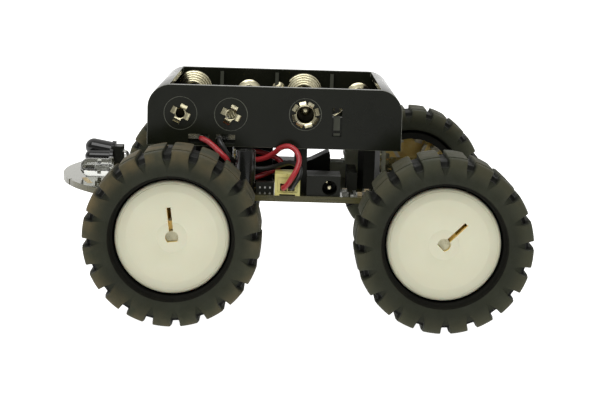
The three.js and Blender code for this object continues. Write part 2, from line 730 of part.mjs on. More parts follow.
function leadSolid(route) {
  const points = route.map((point) => new THREE.Vector3(...point));
  const path = new THREE.CatmullRomCurve3(points, false, 'centripetal');
  const section = new THREE.Shape();
  section.absarc(0, 0, leadRadius, 0, 2 * Math.PI, false);
  const geometry = new THREE.ExtrudeGeometry(section, {
    extrudePath: path,
    steps: Math.round(path.getLength() / (4 * leadRadius)),
    curveSegments: 4,
    bevelEnabled: false,
  });
  return toSolid(geometry);
}

// ---------- assembly ----------
wheels.forEach(buildWheel);
piece('circuit_board', boardSolid(), 'boardBlack');
piece('battery_tray', traySolid(), 'blackPlastic');
for (const { name, end, cells } of contacts) {
  piece(`contact_${name}`, contactSolid(end, cells), 'contact');
}
piece('star_rivet_1', starRivet(starX[0]), 'contact');
piece('star_rivet_2', starRivet(starX[1]), 'contact');
piece('crown_eyelet', crownEyelet(), 'contact');
standoffPlaces.forEach(([x, y], index) => {
  piece(`standoff_${index + 1}`, standoffSolid(x, y), 'blackPlastic');
  piece(`tray_screw_${index + 1}`, screwSolid(x, y), 'steel');
});
piece('capacitor', capacitorSolid(), 'sleeve');
piece('pin_socket', pinSocketSolid(), 'blackPlastic');
piece('battery_header', headerSolid(), 'connector');
piece('battery_plug', plugSolid(), 'connector');
piece('red_lead', leadSolid(redRoute), 'redWire');
piece('black_lead', leadSolid(blackRoute), 'blackWire');
piece('power_jack', jackSolid(), 'blackPlastic');
piece('power_jack_pin', jackPinSolid(), 'steel');
piece('infrared_lamp', lampSolid(45.6, 12.2, seatZ + 2.5, 8.7), 'clearEpoxy');
piece('infrared_receiver', receiverSolid(48.2, -17.5, seatZ + 3.4, 8.6), 'blackEpoxy');
piece('controller_chip', chipSolid(15, -12, 3.6, 1.3), 'blackPlastic');
piece('driver_chip', chipSolid(-28, 4, 3.2, 1.6), 'blackPlastic');
piece('crystal', crystalSolid(5.6, -2), 'canMetal');
piece('expansion_socket', expansionSocketSolid(), 'blackPlastic');

export default group;
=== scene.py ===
import json
import math
import random

import bmesh
import bpy
from mathutils import Matrix, Vector


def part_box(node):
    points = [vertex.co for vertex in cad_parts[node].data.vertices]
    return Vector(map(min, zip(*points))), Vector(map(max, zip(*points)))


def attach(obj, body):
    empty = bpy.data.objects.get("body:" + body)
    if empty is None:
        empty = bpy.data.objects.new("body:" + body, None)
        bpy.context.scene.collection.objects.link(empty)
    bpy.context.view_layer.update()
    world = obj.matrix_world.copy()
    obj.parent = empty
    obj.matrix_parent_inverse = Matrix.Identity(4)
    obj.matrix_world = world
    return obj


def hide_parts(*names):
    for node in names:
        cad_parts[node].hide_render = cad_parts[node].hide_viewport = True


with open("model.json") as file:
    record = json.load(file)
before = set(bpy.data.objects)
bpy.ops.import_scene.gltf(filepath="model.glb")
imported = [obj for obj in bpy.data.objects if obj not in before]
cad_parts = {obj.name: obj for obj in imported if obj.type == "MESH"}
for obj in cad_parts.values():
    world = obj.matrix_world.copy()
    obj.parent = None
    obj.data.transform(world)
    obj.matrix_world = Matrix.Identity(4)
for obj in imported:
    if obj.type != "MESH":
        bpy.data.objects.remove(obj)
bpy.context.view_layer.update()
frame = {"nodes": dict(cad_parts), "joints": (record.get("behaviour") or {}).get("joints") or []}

MM = 0.001
rng = random.Random(7)


def node_box(node):
    """Lowest and highest corner of a CAD node, in millimetres."""
    low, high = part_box(node)
    return low / MM, high / MM


# ---------- driving dimensions ----------
# For each wheel: its side of the robot, and how far its slit and its first tread gap are turned.
SIDES = {"front_left": 1, "rear_left": 1, "front_right": -1, "rear_right": -1}
SLIT = {"front_left": 277, "rear_left": 225, "front_right": 120, "rear_right": 28}
VALLEY = {"front_left": 165.7, "rear_left": 164.6, "front_right": 6, "rear_right": 193.7}
AXLE = {j["child"][6:]: Vector(j["pos_m"]) / MM for j in frame["joints"]}

tyre_low, tyre_high = node_box("tyre_front_left")
TYRE_WIDTH = tyre_high.y - tyre_low.y
INNER_PLANE = tyre_low.y
LUGS = 20
RIM_FACE = TYRE_WIDTH - 3.8
RIM_INSIDE = RIM_FACE - 1.6
SHAFT_RADIUS = 1.5
SHAFT_FLAT = 1.0
GEARBOX_OUTER = 5.5
GEARBOX_INNER = GEARBOX_OUTER - 9
CAN_END = GEARBOX_INNER - 15
BRACKET_Y = INNER_PLANE + GEARBOX_INNER - 1.7
BRACKET_SCREW_X = 9.6

board_low, board_high = node_box("circuit_board")
BOARD_TOP = board_high.z
BOARD_BOTTOM = board_low.z
BOARD_HALF = 35.2
EAR_HALF = board_high.y
NOSE_RADIUS = 46.5

tray_low, tray_high = node_box("battery_tray")
TRAY_X = (tray_low.x + tray_high.x) / 2
TRAY_HALF = (tray_high.x - tray_low.x) / 2
TRAY_FACE = tray_high.y
TRAY_WALL = 1.5
TRAY_INNER = TRAY_FACE - TRAY_WALL
TRAY_CORNER = 6
CELL_PITCH = 15.88
CELL_HEIGHT = tray_low.z + TRAY_WALL + 7.3
STAR_X = (26.7, 13.8)
STAR_Z = 48.1
EYELET_X = -5.2
EYELET_Z = 48.6
PETAL_WIDTH = 1.75
PETAL_LEAN = 3
SLOT_X = TRAY_X - 15.95


# ---------- materials ----------
def tint(red, green, blue):
    """A colour given as 0 to 255 display values, as the linear colour that nodes take."""
    linear = []
    for value in (red, green, blue):
        share = value / 255
        linear.append(share / 12.92 if share <= 0.04045 else ((share + 0.055) / 1.055) ** 2.4)
    return (*linear, 1.0)


class Finish:
    """A Principled material whose inputs are fed by small procedural patterns."""

    def __init__(self, name, **values):
        self.material = bpy.data.materials.new(name)
        self.material.use_nodes = True
        self.tree = self.material.node_tree
        self.shader = self.tree.nodes["Principled BSDF"]
        for socket, value in values.items():
            self.shader.inputs[socket.replace("_", " ")].default_value = value
        self.place = self.add("ShaderNodeTexCoord").outputs["Object"]
        self.normal = None

    def add(self, kind, **settings):
        node = self.tree.nodes.new(kind)
        for key, value in settings.items():
            setattr(node, key, value)
        return node

    def put(self, value, socket):
        if isinstance(value, bpy.types.NodeSocket):
            self.tree.links.new(value, socket)
        else:
            socket.default_value = value

    def noise(self, size, detail=3.0, stretch=(1, 1, 1), roughness=0.55):
        """Noise whose features are about size millimetres across."""
        mapping = self.add("ShaderNodeMapping")
        mapping.inputs["Scale"].default_value = [s / (size * MM) for s in stretch]
        self.put(self.place, mapping.inputs["Vector"])
        node = self.add("ShaderNodeTexNoise")
        node.inputs["Scale"].default_value = 1.0
        node.inputs["Detail"].default_value = detail
        node.inputs["Roughness"].default_value = roughness
        self.put(mapping.outputs["Vector"], node.inputs["Vector"])
        return node.outputs["Fac"]

    def ramp(self, factor, *stops):
        node = self.add("ShaderNodeValToRGB")
        while len(node.color_ramp.elements) < len(stops):
            node.color_ramp.elements.new(0.5)
        for element, (position, colour) in zip(node.color_ramp.elements, stops):
            element.position = position
            element.color = colour if isinstance(colour, tuple) else (colour, colour, colour, 1)
        self.put(factor, node.inputs["Fac"])
        return node.outputs["Color"]

    def mix(self, factor, first, second):
        node = self.add("ShaderNodeMix", data_type="RGBA")
        self.put(factor, node.inputs["Factor"])
        self.put(first, node.inputs[6])
        self.put(second, node.inputs[7])
        return node.outputs[2]

    def math(self, operation, first, second):
        node = self.add("ShaderNodeMath", operation=operation)
        self.put(first, node.inputs[0])
        self.put(second, node.inputs[1])
        return node.outputs[0]

    def along(self, axis):
        """The object coordinate along X, Y or Z, in metres."""
        split = self.add("ShaderNodeSeparateXYZ")
        self.put(self.place, split.inputs["Vector"])
        return split.outputs[axis]

    def attribute(self, name):
        return self.add("ShaderNodeAttribute", attribute_name=name).outputs["Fac"]

    def colour(self, value):
        self.put(value, self.shader.inputs["Base Color"])

    def rough(self, factor, low, high):
        """Roughness that moves between low and high with a pattern."""
        self.put(self.ramp(factor, (0.3, low), (0.7, high)), self.shader.inputs["Roughness"])

    def bump(self, height, depth):
        """Adds a relief of that depth in millimetres to the surface."""
        node = self.add("ShaderNodeBump")
        node.inputs["Distance"].default_value = depth * MM
        self.put(height, node.inputs["Height"])
        if self.normal is not None:
            self.put(self.normal, node.inputs["Normal"])
        self.normal = node.outputs["Normal"]
        self.put(self.normal, self.shader.inputs["Normal"])


def map_range(tree, value, limits, kind="SMOOTHSTEP"):
    """Carries a value from one range to another; limits are from low, from high, to low, to high."""
    node = tree.nodes.new("ShaderNodeMapRange")
    node.interpolation_type = kind
    tree.links.new(value, node.inputs["Value"])
    for socket, limit in zip(("From Min", "From Max", "To Min", "To Max"), limits):
        node.inputs[socket].default_value = limit
    return node.outputs["Result"]


def mottled(name, dark, light, size, rough):
    """The common case: a colour that drifts between two tones, with grain and uneven gloss."""
    finish = Finish(name)
    drift = finish.noise(size, detail=5)
    finish.colour(finish.ramp(drift, (0.3, dark), (0.7, light)))
    finish.rough(finish.noise(size / 3, detail=4), *rough)
    finish.bump(finish.noise(size / 20, detail=3), 0.02)
    return finish.material


def rubber():
    """Dark rubber. The tread attribute is 1 on a lug's face, 0.5 on bare rubber and 0 deep in a gap, where
    painted shade darkens the rubber towards black.
    """
    finish = Finish("rubber", Specular_IOR_Level=0.2)
    tread = finish.attribute("tread")
    base = finish.ramp(finish.noise(9, detail=6), (0.3, tint(30, 32, 22)), (0.75, tint(39, 41, 29)))
    lug = finish.ramp(tread, (0.5, 0.0), (1.0, 1.0))
    scrubbed = finish.mix(finish.math("MULTIPLY", lug, 0.26), base, tint(84, 86, 68))
    front = map_range(finish.tree, finish.along("X"), (-0.01, 0.03, 0.12, 0.6), "LINEAR")
    dust_patch = finish.ramp(finish.noise(7, detail=7), (0.36, 0.0), (0.66, 1.0))
    dust = finish.math("MULTIPLY", finish.math("MULTIPLY", dust_patch, lug), front)
    worn = finish.mix(dust, scrubbed, tint(108, 92, 62))
    # Deep in the gaps the colour goes to near black: painted shade.
    finish.colour(finish.mix(finish.ramp(tread, (0.0, 0.85), (0.5, 0.0)), worn, tint(8, 8, 6)))
    finish.rough(finish.noise(3, detail=5), 0.6, 0.82)
    finish.bump(finish.noise(0.35, detail=4), 0.05)
    finish.bump(finish.noise(4, detail=2), 0.12)
    return finish.material


def rim_plastic():
    finish = Finish("rim_plastic", Subsurface_Weight=0.12, Subsurface_Scale=0.002)
    base = finish.ramp(finish.noise(11, detail=4), (0.3, tint(196, 194, 169)), (0.7, tint(201, 199, 175)))
    specks = finish.ramp(finish.noise(1.6, detail=8, roughness=0.7), (0.62, 0.0), (0.78, 1.0))
    finish.colour(finish.mix(finish.math("MULTIPLY", specks, 0.10), base, tint(150, 144, 112)))
    finish.rough(finish.noise(5, detail=4), 0.36, 0.5)
    finish.bump(finish.noise(6, detail=2), 0.05)
    finish.bump(finish.noise(0.5, stretch=(1, 8, 1), detail=3), 0.006)
    return finish.material


def amber_glow_plastic():
    """The inside of a rim, an amber copy of its pale plastic: painted glow standing in for warm light seen
    through the plastic in the shaded cavity.
    """
    return mottled("amber_glow_plastic", tint(232, 202, 112), tint(250, 230, 158), 4, (0.35, 0.55))


def turned_metal(name, dark, light, rough=(0.24, 0.4), size=6):
    finish = Finish(name, Metallic=1.0)
    drift = finish.noise(size, detail=6)
    finish.colour(finish.ramp(drift, (0.3, dark), (0.7, light)))
    finish.rough(finish.noise(size / 2, detail=5), *rough)
    finish.bump(finish.noise(0.5, stretch=(1, 1, 9), detail=2), 0.012)
    return finish.material


def moulded_black(name, dark, light, rough, specular=0.35, grain=0.3, depth=0.012):
    finish = Finish(name, Specular_IOR_Level=specular)
    drift = finish.noise(14, detail=4)
    base = finish.ramp(drift, (0.3, dark), (0.7, light))
    specks = finish.ramp(finish.noise(0.9, detail=6), (0.68, 0.0), (0.8, 1.0))
    finish.colour(finish.mix(finish.math("MULTIPLY", specks, 0.12), base, tint(96, 96, 88)))
    finish.rough(finish.noise(4, detail=5), *rough)
    finish.bump(finish.noise(grain, detail=3), depth)
    return finish.material


def solder_mask():
    """Black gloss lacquer over patches of parallel copper tracks and plain copper."""
    finish = Finish("solder_mask", Coat_Weight=0.22, Coat_Roughness=0.05, Specular_IOR_Level=0.45)
    finish.shader.inputs["Specular Tint"].default_value = (0.98, 1.0, 0.8, 1)
    finish.shader.inputs["Coat Tint"].default_value = (0.97, 0.98, 0.86, 1)
    patches = finish.add("ShaderNodeTexVoronoi", feature="F1", distance="CHEBYCHEV")
    patches.inputs["Scale"].default_value = 120
    finish.put(finish.place, patches.inputs["Vector"])
    chance = finish.add("ShaderNodeSeparateColor")
    finish.put(patches.outputs["Color"], chance.inputs["Color"])
    bands = []
    for direction in ("X", "Y"):
        band = finish.add("ShaderNodeTexWave", wave_type="BANDS", bands_direction=direction)
        band.inputs["Scale"].default_value = 240
        finish.put(finish.place, band.inputs["Vector"])
        bands.append(finish.ramp(band.outputs["Fac"], (0.42, 0.0), (0.52, 1.0)))
    tracks = finish.mix(finish.math("GREATER_THAN", chance.outputs["Red"], 0.5), *bands)
    plain = finish.math("GREATER_THAN", chance.outputs["Green"], 0.45)
    copper_below = finish.mix(plain, tracks, (1, 1, 1, 1))
    finish.colour(finish.mix(copper_below, tint(30, 29, 15), tint(42, 40, 22)))
    finish.rough(finish.noise(5, detail=4), 0.07, 0.14)
    finish.bump(copper_below, 0.012)
    return finish.material


def laminate():
    """The sawn edge of the board: dark glass fibre layers with a satin sheen."""
    finish = Finish("laminate", Specular_IOR_Level=0.4)
    layers = finish.noise(0.35, stretch=(0.05, 0.05, 1), detail=2)
    finish.colour(finish.ramp(layers, (0.35, tint(60, 57, 30)), (0.65, tint(78, 74, 42))))
    finish.rough(finish.noise(2), 0.22, 0.36)
    finish.bump(layers, 0.02)
    return finish.material


def wire_jacket(name, dark, light):
    finish = Finish(name, Specular_IOR_Level=0.5)
    finish.colour(finish.ramp(finish.noise(4, detail=4), (0.3, dark), (0.7, light)))
    finish.rough(finish.noise(2, detail=4), 0.25, 0.42)
    finish.bump(finish.noise(0.6, detail=2), 0.015)
    return finish.material


def clear_epoxy():
    finish = Finish("clear_epoxy", Transmission_Weight=1.0, IOR=1.52, Roughness=0.09)
    finish.colour(finish.ramp(finish.noise(3), (0.3, tint(240, 243, 238)), (0.7, tint(250, 251, 248))))
    finish.bump(finish.noise(4, detail=1), 0.01)
    return finish.material


MAT = {
    "rubber": rubber(),
    # A near-black copy of the rubber: painted shade on the tyre's bore and on the rim's barrel and lip.
    "bore": moulded_black("painted_shade_rubber", tint(12, 12, 9), tint(20, 20, 15), (0.7, 0.85), 0.1),
    "rim": rim_plastic(),
    "amber_glow": amber_glow_plastic(),
    "steel": turned_metal("steel", tint(140, 136, 112), tint(186, 181, 154), size=2),
    "nickel": turned_metal("nickel", tint(176, 168, 134), tint(222, 216, 186), (0.18, 0.34)),
    "brass": turned_metal("brass", tint(150, 112, 40), tint(204, 166, 82), (0.25, 0.42)),
    "gold": turned_metal("gold", tint(196, 160, 80), tint(232, 200, 118), (0.2, 0.35)),
    "can": turned_metal("can_metal", tint(168, 168, 164), tint(208, 208, 204), (0.16, 0.3)),
    # A near-black copy of the nickel: painted shade inside the hollow buttons and the rivets' bores.
    "painted_hollow_shade": turned_metal("painted_hollow_shade", tint(20, 19, 15), tint(56, 53, 42), (0.3, 0.5), 3),
    # Pale moulding for the inner posts: its tone is raised so they show as the light haze past the jack, as
    # painted light.
    "haze": mottled("pale_haze_moulding", tint(196, 199, 172), tint(218, 220, 196), 3, (0.5, 0.7)),
    "solder": turned_metal("solder", tint(170, 171, 166), tint(214, 214, 208), (0.2, 0.45), 2),
    "cap": mottled("cap_plastic", tint(206, 200, 176), tint(226, 222, 202), 5, (0.4, 0.55)),
    "tray": moulded_black("tray_plastic", tint(19, 21, 14), tint(25, 27, 19), (0.13, 0.22), 0.24,
                          depth=0.006),
    # A lighter copy of the tray plastic: painted highlight on the far wall's ribs and on the bars in the
    # slot.
    "painted_highlight": moulded_black("painted_highlight_plastic", tint(58, 60, 50), tint(78, 80, 68), (0.4, 0.55)),
    # A lighter copy of the tray plastic: painted highlight on the tray's rounded edges and on the walls of
    # its fine grooves.
    "painted_edge_highlight": moulded_black("painted_edge_highlight", tint(88, 90, 78), tint(116, 118, 104), (0.18, 0.3), 0.5),
    "black": moulded_black("black_plastic", tint(24, 25, 20), tint(32, 33, 27), (0.36, 0.5), 0.2),
    "bracket": moulded_black("bracket_plastic", tint(30, 31, 27), tint(40, 41, 36), (0.5, 0.65), 0.2),
    "sleeve": moulded_black("sleeve", tint(14, 15, 14), tint(22, 23, 21), (0.16, 0.28), 0.5, 2, 0.02),
    "epoxy": moulded_black("black_epoxy", tint(8, 8, 8), tint(14, 14, 13), (0.06, 0.14), 0.5, 3, 0.01),
    "mask": solder_mask(),
    "laminate": laminate(),
    "connector": mottled("connector", tint(200, 191, 108), tint(216, 210, 138), 3, (0.38, 0.52)),
    "red": wire_jacket("red_jacket", tint(150, 30, 36), tint(172, 46, 50)),
    # Black insulation for the black lead, and also painted shade: black plates and lines in screw recesses,
    # dimples, vents and holes.
    "wire": wire_jacket("black_jacket_and_hole_shade", tint(20, 20, 18), tint(30, 30, 27)),
    "clear": clear_epoxy(),
    "ceramic": mottled("ceramic", tint(148, 132, 100), tint(176, 160, 128), 1.5, (0.4, 0.6)),
    "print": mottled("print", tint(96, 97, 92), tint(126, 127, 120), 2, (0.5, 0.7)),
}


# ---------- mesh tools ----------
class Shape:
    """Collects surfaces in millimetres until make() turns them into one piece."""

    def __init__(self):
        self.mesh = bmesh.new()
        self.tread = self.mesh.verts.layers.float.new("tread")

    def add(self, points, faces, matrix=None, slot=0, weights=None):
        """Adds points and faces, and returns the new faces."""
        matrix = matrix or Matrix.Identity(4)
        verts = [self.mesh.verts.new(matrix @ Vector(p)) for p in points]
        if weights:
            for vert, weight in zip(verts, weights):
                vert[self.tread] = weight
        made = []
        for face in faces:
            new = self.mesh.faces.new([verts[i] for i in face])
            new.material_index = slot
            made.append(new)
        if matrix.determinant() < 0:
            bmesh.ops.reverse_faces(self.mesh, faces=made)
        return made

    def box(self, low, high, matrix=None, slot=0, bevel=0.0):
        x0, y0, z0 = low
        x1, y1, z1 = high
        outline = [(x0, y0), (x1, y0), (x1, y1), (x0, y1)]
        self.prism(outline, z0, z1, matrix, slot, bevel)

    def prism(self, outline, z0, z1, matrix=None, slot=0, bevel=0.0):
        """An outline in the XY plane, counted anticlockwise, raised from z0 to z1."""
        count = len(outline)
        points = [(x, y, z0) for x, y in outline] + [(x, y, z1) for x, y in outline]
        faces = [list(range(count))[::-1], list(range(count, 2 * count))]
        for i in range(count):
            j = (i + 1) % count
            faces.append([i, j, count + j, count + i])
        made = self.add(points, faces, matrix, slot)
        if bevel:
            self.soften(made, bevel)
        return made

    def soften(self, faces, width):
        """Rounds the edges of these faces that turn more than 32 degrees."""
        edges = {e for f in faces for e in f.edges}
        sharp = [e for e in edges if e.is_manifold and e.calc_face_angle(0) > math.radians(32)]
        bmesh.ops.bevel(self.mesh, geom=sharp, offset=width, segments=2, profile=0.5,
                        affect="EDGES", clamp_overlap=True)

    def lathe(self, profile, segments, matrix=None, slot=0, slots=None):
        """A closed solid of revolution about Z from (radius, z) pairs, axis to axis or in a loop."""
        matrix = matrix or Matrix.Identity(4)
        rings = []
        for radius, z in profile:
            if radius < 1e-6:
                rings.append([self.mesh.verts.new(matrix @ Vector((0, 0, z)))])
                continue
            ring = []
            for i in range(segments):
                angle = 2 * math.pi * i / segments
                point = Vector((radius * math.cos(angle), radius * math.sin(angle), z))
                ring.append(self.mesh.verts.new(matrix @ point))
            rings.append(ring)
        on_axis = len(rings[0]) == 1 and len(rings[-1]) == 1
        pairs = list(zip(rings, rings[1:]))
        if not on_axis:
            pairs.append((rings[-1], rings[0]))
        made = []
        for number, (a, b) in enumerate(pairs):
            for i in range(segments):
                j = (i + 1) % segments
                corners = [a[i % len(a)], b[i % len(b)], b[j % len(b)], a[j % len(a)]]
                unique = list(dict.fromkeys(corners))
                if len(unique) < 3:
                    continue
                face = self.mesh.faces.new(unique)
                face.material_index = slots[number] if slots else slot
                made.append(face)
        bmesh.ops.recalc_face_normals(self.mesh, faces=made)

    def rod(self, radius, z0, z1, matrix=None, slot=0, segments=40, edge=0.12):
        """A round bar about Z with slightly rounded ends."""
        part = 0.3 * edge
        profile = [(0, z0), (radius - edge, z0), (radius - part, z0 + part), (radius, z0 + edge),
                   (radius, z1 - edge), (radius - part, z1 - part), (radius - edge, z1), (0, z1)]
        self.lathe(profile, segments, matrix, slot)

    def tube(self, path, radius, sides, slot=0, squeeze=1.0):
        """A round bar that follows a path."""
        rings = []
        up = Vector((0, 0, 1))
        for i, point in enumerate(path):
            ahead = path[min(i + 1, len(path) - 1)] - path[max(i - 1, 0)]
            ahead.normalize()
            across = ahead.cross(up)
            if across.length < 1e-3:
                across = ahead.cross(Vector((0, 1, 0)))
            across.normalize()
            up = across.cross(ahead)
            ring = []
            for k in range(sides):
                angle = 2 * math.pi * k / sides
                offset = across * math.cos(angle) * radius + up * math.sin(angle) * radius * squeeze
                ring.append(self.mesh.verts.new(point + offset))
            rings.append(ring)
        made = [self.mesh.faces.new(rings[0][::-1]), self.mesh.faces.new(rings[-1])]
        for a, b in zip(rings, rings[1:]):
            for i in range(sides):
                j = (i + 1) % sides
                made.append(self.mesh.faces.new([a[i], a[j], b[j], b[i]]))
        for face in made:
            face.material_index = slot
        bmesh.ops.recalc_face_normals(self.mesh, faces=made)

    def make(self, name, materials, body="chassis", replaces=(), smooth=34, slot=None):
        """Turns what was collected into one piece that rides on a body."""
        bmesh.ops.scale(self.mesh, vec=(MM, MM, MM), verts=self.mesh.verts)
        data = bpy.data.meshes.new(name)
        self.mesh.to_mesh(data)
        self.mesh.free()
        data.shade_smooth()
        data.set_sharp_from_angle(angle=math.radians(smooth))
        for material in materials:
            data.materials.append(MAT[material])
        piece = place_object(name, data)
        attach(piece, body)
        if replaces:
            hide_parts(*replaces)
        return piece


def place_object(name, data):
    """A new object in the scene that shows this data."""
    piece = bpy.data.objects.new(name, data)
    bpy.context.scene.collection.objects.link(piece)
    return piece


def carve(piece, *cutters):
    """Cuts the cutters, each a Shape, out of a piece."""
    for cutter in cutters:
        tool = cutter.make("cutter", [])
        modifier = piece.modifiers.new("carve", "BOOLEAN")
        modifier.operation = "DIFFERENCE"
        modifier.solver = "EXACT"
        modifier.object = tool
        bake_modifiers(piece)
        bpy.data.objects.remove(tool)
    piece.data.shade_smooth()
    piece.data.set_sharp_from_angle(angle=math.radians(34))


def groove(x, z, radius):
    """A cutter for a fine round line on the tray's end wall, whose walls take slot 1, the painted highlight.
    """
    shape = Shape()
    ring = [(radius - 0.2, -0.2), (radius, -0.2), (radius, 1), (radius - 0.2, 1)]
    shape.lathe(ring, 96, outward(x, z), 1)
    return shape


def bake_modifiers(piece):
    graph = bpy.context.evaluated_depsgraph_get()
    data = bpy.data.meshes.new_from_object(piece.evaluated_get(graph))
    piece.modifiers.clear()
    piece.data = data


def round_edges(piece, width, segments):
    """Adds a modifier that rounds the edges which turn more than 35 degrees."""
    modifier = piece.modifiers.new("round_edges", "BEVEL")
    modifier.width = width * MM
    modifier.segments = segments
    modifier.limit_method = "ANGLE"
    modifier.angle_limit = math.radians(35)
    return modifier


def shade_flat_walls(piece):
    """Shades the faces that lie square to the axes as flat ones."""
    for face in piece.data.polygons:
        face.use_smooth = max(abs(part) for part in face.normal) < 0.99999


def arc(cx, cy, radius, start, end, steps):
    """Points of an arc, with angles in degrees."""
    angles = [math.radians(start + (end - start) * i / steps) for i in range(steps + 1)]
    return [(cx + radius * math.cos(a), cy + radius * math.sin(a)) for a in angles]


def curve(points, steps=8):
    """A smooth path through the points (Catmull-Rom, even spacing)."""
    knots = [Vector(p) for p in points]
    knots = [knots[0] * 2 - knots[1]] + knots + [knots[-1] * 2 - knots[-2]]
    path = []
    for i in range(1, len(knots) - 2):
        p0, p1, p2, p3 = knots[i - 1:i + 3]
        for s in range(steps):
            t = s / steps
            path.append(0.5 * ((2 * p1) + (p2 - p0) * t + (2 * p0 - 5 * p1 + 4 * p2 - p3) * t ** 2
                               + (3 * p1 - p0 - 3 * p2 + p3) * t ** 3))
    path.append(knots[-2])
    return path


def upright(x, y, z=0):
    return Matrix.Translation((x, y, z))


def middle(low, high):
    """The X and Y of the middle of a box."""
    return (low.x + high.x) / 2, (low.y + high.y) / 2


def spun(angle):
    """A turn about Z by an angle in degrees."""
    return Matrix.Rotation(math.radians(angle), 4, "Z")


def facing_left(x, z, y):
    """Turns +Z of a shape to the robot's left (+Y), with its X axis along +X."""
    return Matrix.Translation((x, y, z)) @ Matrix.Rotation(-math.pi / 2, 4, "X")


def outward(x, z, side=1):
    """A frame on the tray's end wall: X along the wall, Y up and Z out of the wall."""
    place = Matrix.Translation((x, side * TRAY_FACE, z))
    axes = Matrix(((side * -1, 0, 0, 0), (0, 0, side, 0), (0, 1, 0, 0), (0, 0, 0, 1)))
    return place @ axes


# ---------- wheels ----------
def wheel_matrix(name):
    """Wheel coordinates: Z runs along the axle from the inner plane to the outer plane."""
    side = SIDES[name]
    place = Matrix.Translation((AXLE[name].x, side * INNER_PLANE, AXLE[name].z))
    return place @ Matrix.Rotation(-side * math.pi / 2, 4, "X")


# Half of the tyre's section from the bore to the middle of the tread: the ring between the lugs, the
# surface of a lug at the same place, how much of the tread's dust it carries, and how wide the gap
# between two lugs is there (1 is its full width).
TYRE_SECTION = [
    ((14.31, 15.4), (14.31, 15.4), 0.0, 0.3),
    ((14.85, 15.8), (14.85, 15.8), 0.0, 0.3),
    ((15.05, 16.6), (15.05, 16.6), 0.0, 0.3),
    ((15.1, 17.5), (15.1, 17.5), 0.0, 0.3),
    ((15.25, 17.95), (15.25, 17.95), 0.0, 0.3),
    ((15.6, 18.15), (15.6, 18.15), 0.0, 0.3),
    ((16.3, 18.25), (16.3, 18.25), 0.02, 0.3),
    ((17.0, 18.32), (17.0, 18.32), 0.05, 0.3),
    ((17.6, 18.32), (17.6, 18.45), 0.15, 0.45),
    ((18.2, 18.26), (18.2, 18.64), 0.3, 0.7),
    ((18.8, 18.1), (18.85, 18.84), 0.45, 0.95),
    ((19.1, 17.95), (19.3, 18.92), 0.6, 1.08),
    ((19.2, 16.9), (19.9, 18.92), 0.75, 1.15),
    ((19.3, 16.3), (20.45, 18.8), 0.9, 1.2),
    ((19.6, 15.9), (20.9, 18.5), 1.0, 1.2),
    ((19.9, 15.75), (21.15, 18.05), 1.0, 1.15),
    ((20.1, 15.7), (21.28, 17.3), 1.0, 1.1),
    ((20.15, 15.65), (21.34, 16.1), 1.0, 1.05),
    ((20.17, 15.6), (20.55, 16.0), 0.0, 1.05),
    ((20.2, 15.55), (20.55, 15.6), 0.0, 1.05),
    ((20.22, 15.45), (21.42, 15.5), 1.0, 1.0),
    ((20.25, 15.2), (21.48, 15.2), 1.0, 1.0),
    ((20.25, 13.0), (21.5, 13.0), 1.0, 1.0),
    ((20.25, 9.5), (21.5, 9.5), 1.0, 1.0),
]
# Half of a lug's pitch from the middle of a gap, in degrees, and how far the surface has risen there.
LUG_STEPS = [
    (0.0, 0.0), (2.1, 0.02), (2.4, 0.1), (2.62, 0.8), (2.85, 0.96), (3.3, 1.0), (6.2, 1.0), (9.0, 1.0),
]


def lug_columns(name):
    """The tread's sections in order: the angle of their gap, the step beside it, its rise and a shift."""
    pitch = 360 // LUGS
    rising = LUG_STEPS[:-1]
    falling = [(-angle, lift) for angle, lift in LUG_STEPS[:0:-1]]
    columns = []
    for lug in range(LUGS):
        uneven = rng.uniform(-0.25, 0.25)
        gap = VALLEY[name] + lug * pitch
        for angle, lift in rising:
            columns.append((gap, angle, lift, uneven if lift > 0.9 else 0.0))
        for angle, lift in falling:
            columns.append((gap + pitch, angle, lift, uneven if lift > 0.9 else 0.0))
    return columns


def tyre(name):
    half = TYRE_SECTION
    mirrored = [((a, TYRE_WIDTH - b), (c, TYRE_WIDTH - d), dust, gap)
                for (a, b), (c, d), dust, gap in half[-2::-1]]
    section = half + mirrored
    columns = lug_columns(name)
    points = []
    weights = []
    for valley, angle, lift, uneven in columns:
        for (ring_r, ring_z), (lug_r, lug_z), weight, gap in section:
            radius = ring_r + (lug_r - ring_r) * lift
            narrowed = angle if abs(angle) > 6 else angle * gap
            turn = math.radians(valley + narrowed + uneven)
            z = ring_z + (lug_z - ring_z) * lift
            points.append((radius * math.cos(turn), radius * math.sin(turn), z))
            # The outer part of each gap between lugs lowers the tread weight towards 0, which the rubber
            # paints as shade.
            painted_gap_shade = (1 - lift) * max(0.0, min(1.0, (ring_r - 18.9) / 0.5))
            weights.append(0.5 + 0.5 * weight * lift - 0.5 * painted_gap_shade)
    rows = len(section)
    faces = []
    for i in range(len(columns)):
        j = (i + 1) % len(columns)
        for k in range(rows):
            m = (k + 1) % rows
            faces.append([i * rows + k, j * rows + k, j * rows + m, i * rows + m])
    shape = Shape()
    made = shape.add(points, faces, wheel_matrix(name), weights=weights)
    for number, face in enumerate(made):
        row = number % rows
        # The rows of the bore take the near-black bore rubber: painted shade.
        face.material_index = 1 if row < 4 or row > rows - 6 else 0
    bmesh.ops.recalc_face_normals(shape.mesh, faces=made)
    shape.make(f"{name}_tyre", ["rubber", "bore"], f"wheel_{name}", [f"tyre_{name}"], 40, "rubber")


RIM_FRONT = [
    (0, 0), (3.6, 0), (3.66, -0.03), (3.72, -0.03), (3.78, 0), (7.5, -0.01), (10.8, -0.03), (11.05, -0.01),
    (11.3, -0.06), (12.2, -0.12), (12.92, -0.2), (12.98, -0.3), (13.08, -0.3), (13.14, -0.22), (13.45, -0.28),
    (13.68, -0.5), (13.8, -0.9), (13.8, -1.5),
]


def d_outline(radius, flat, steps=30):
    """The outline of a D-shaped bar whose flat faces -X."""
    half = math.degrees(math.acos(-flat / radius))
    return arc(0, 0, radius, -half, half, steps)


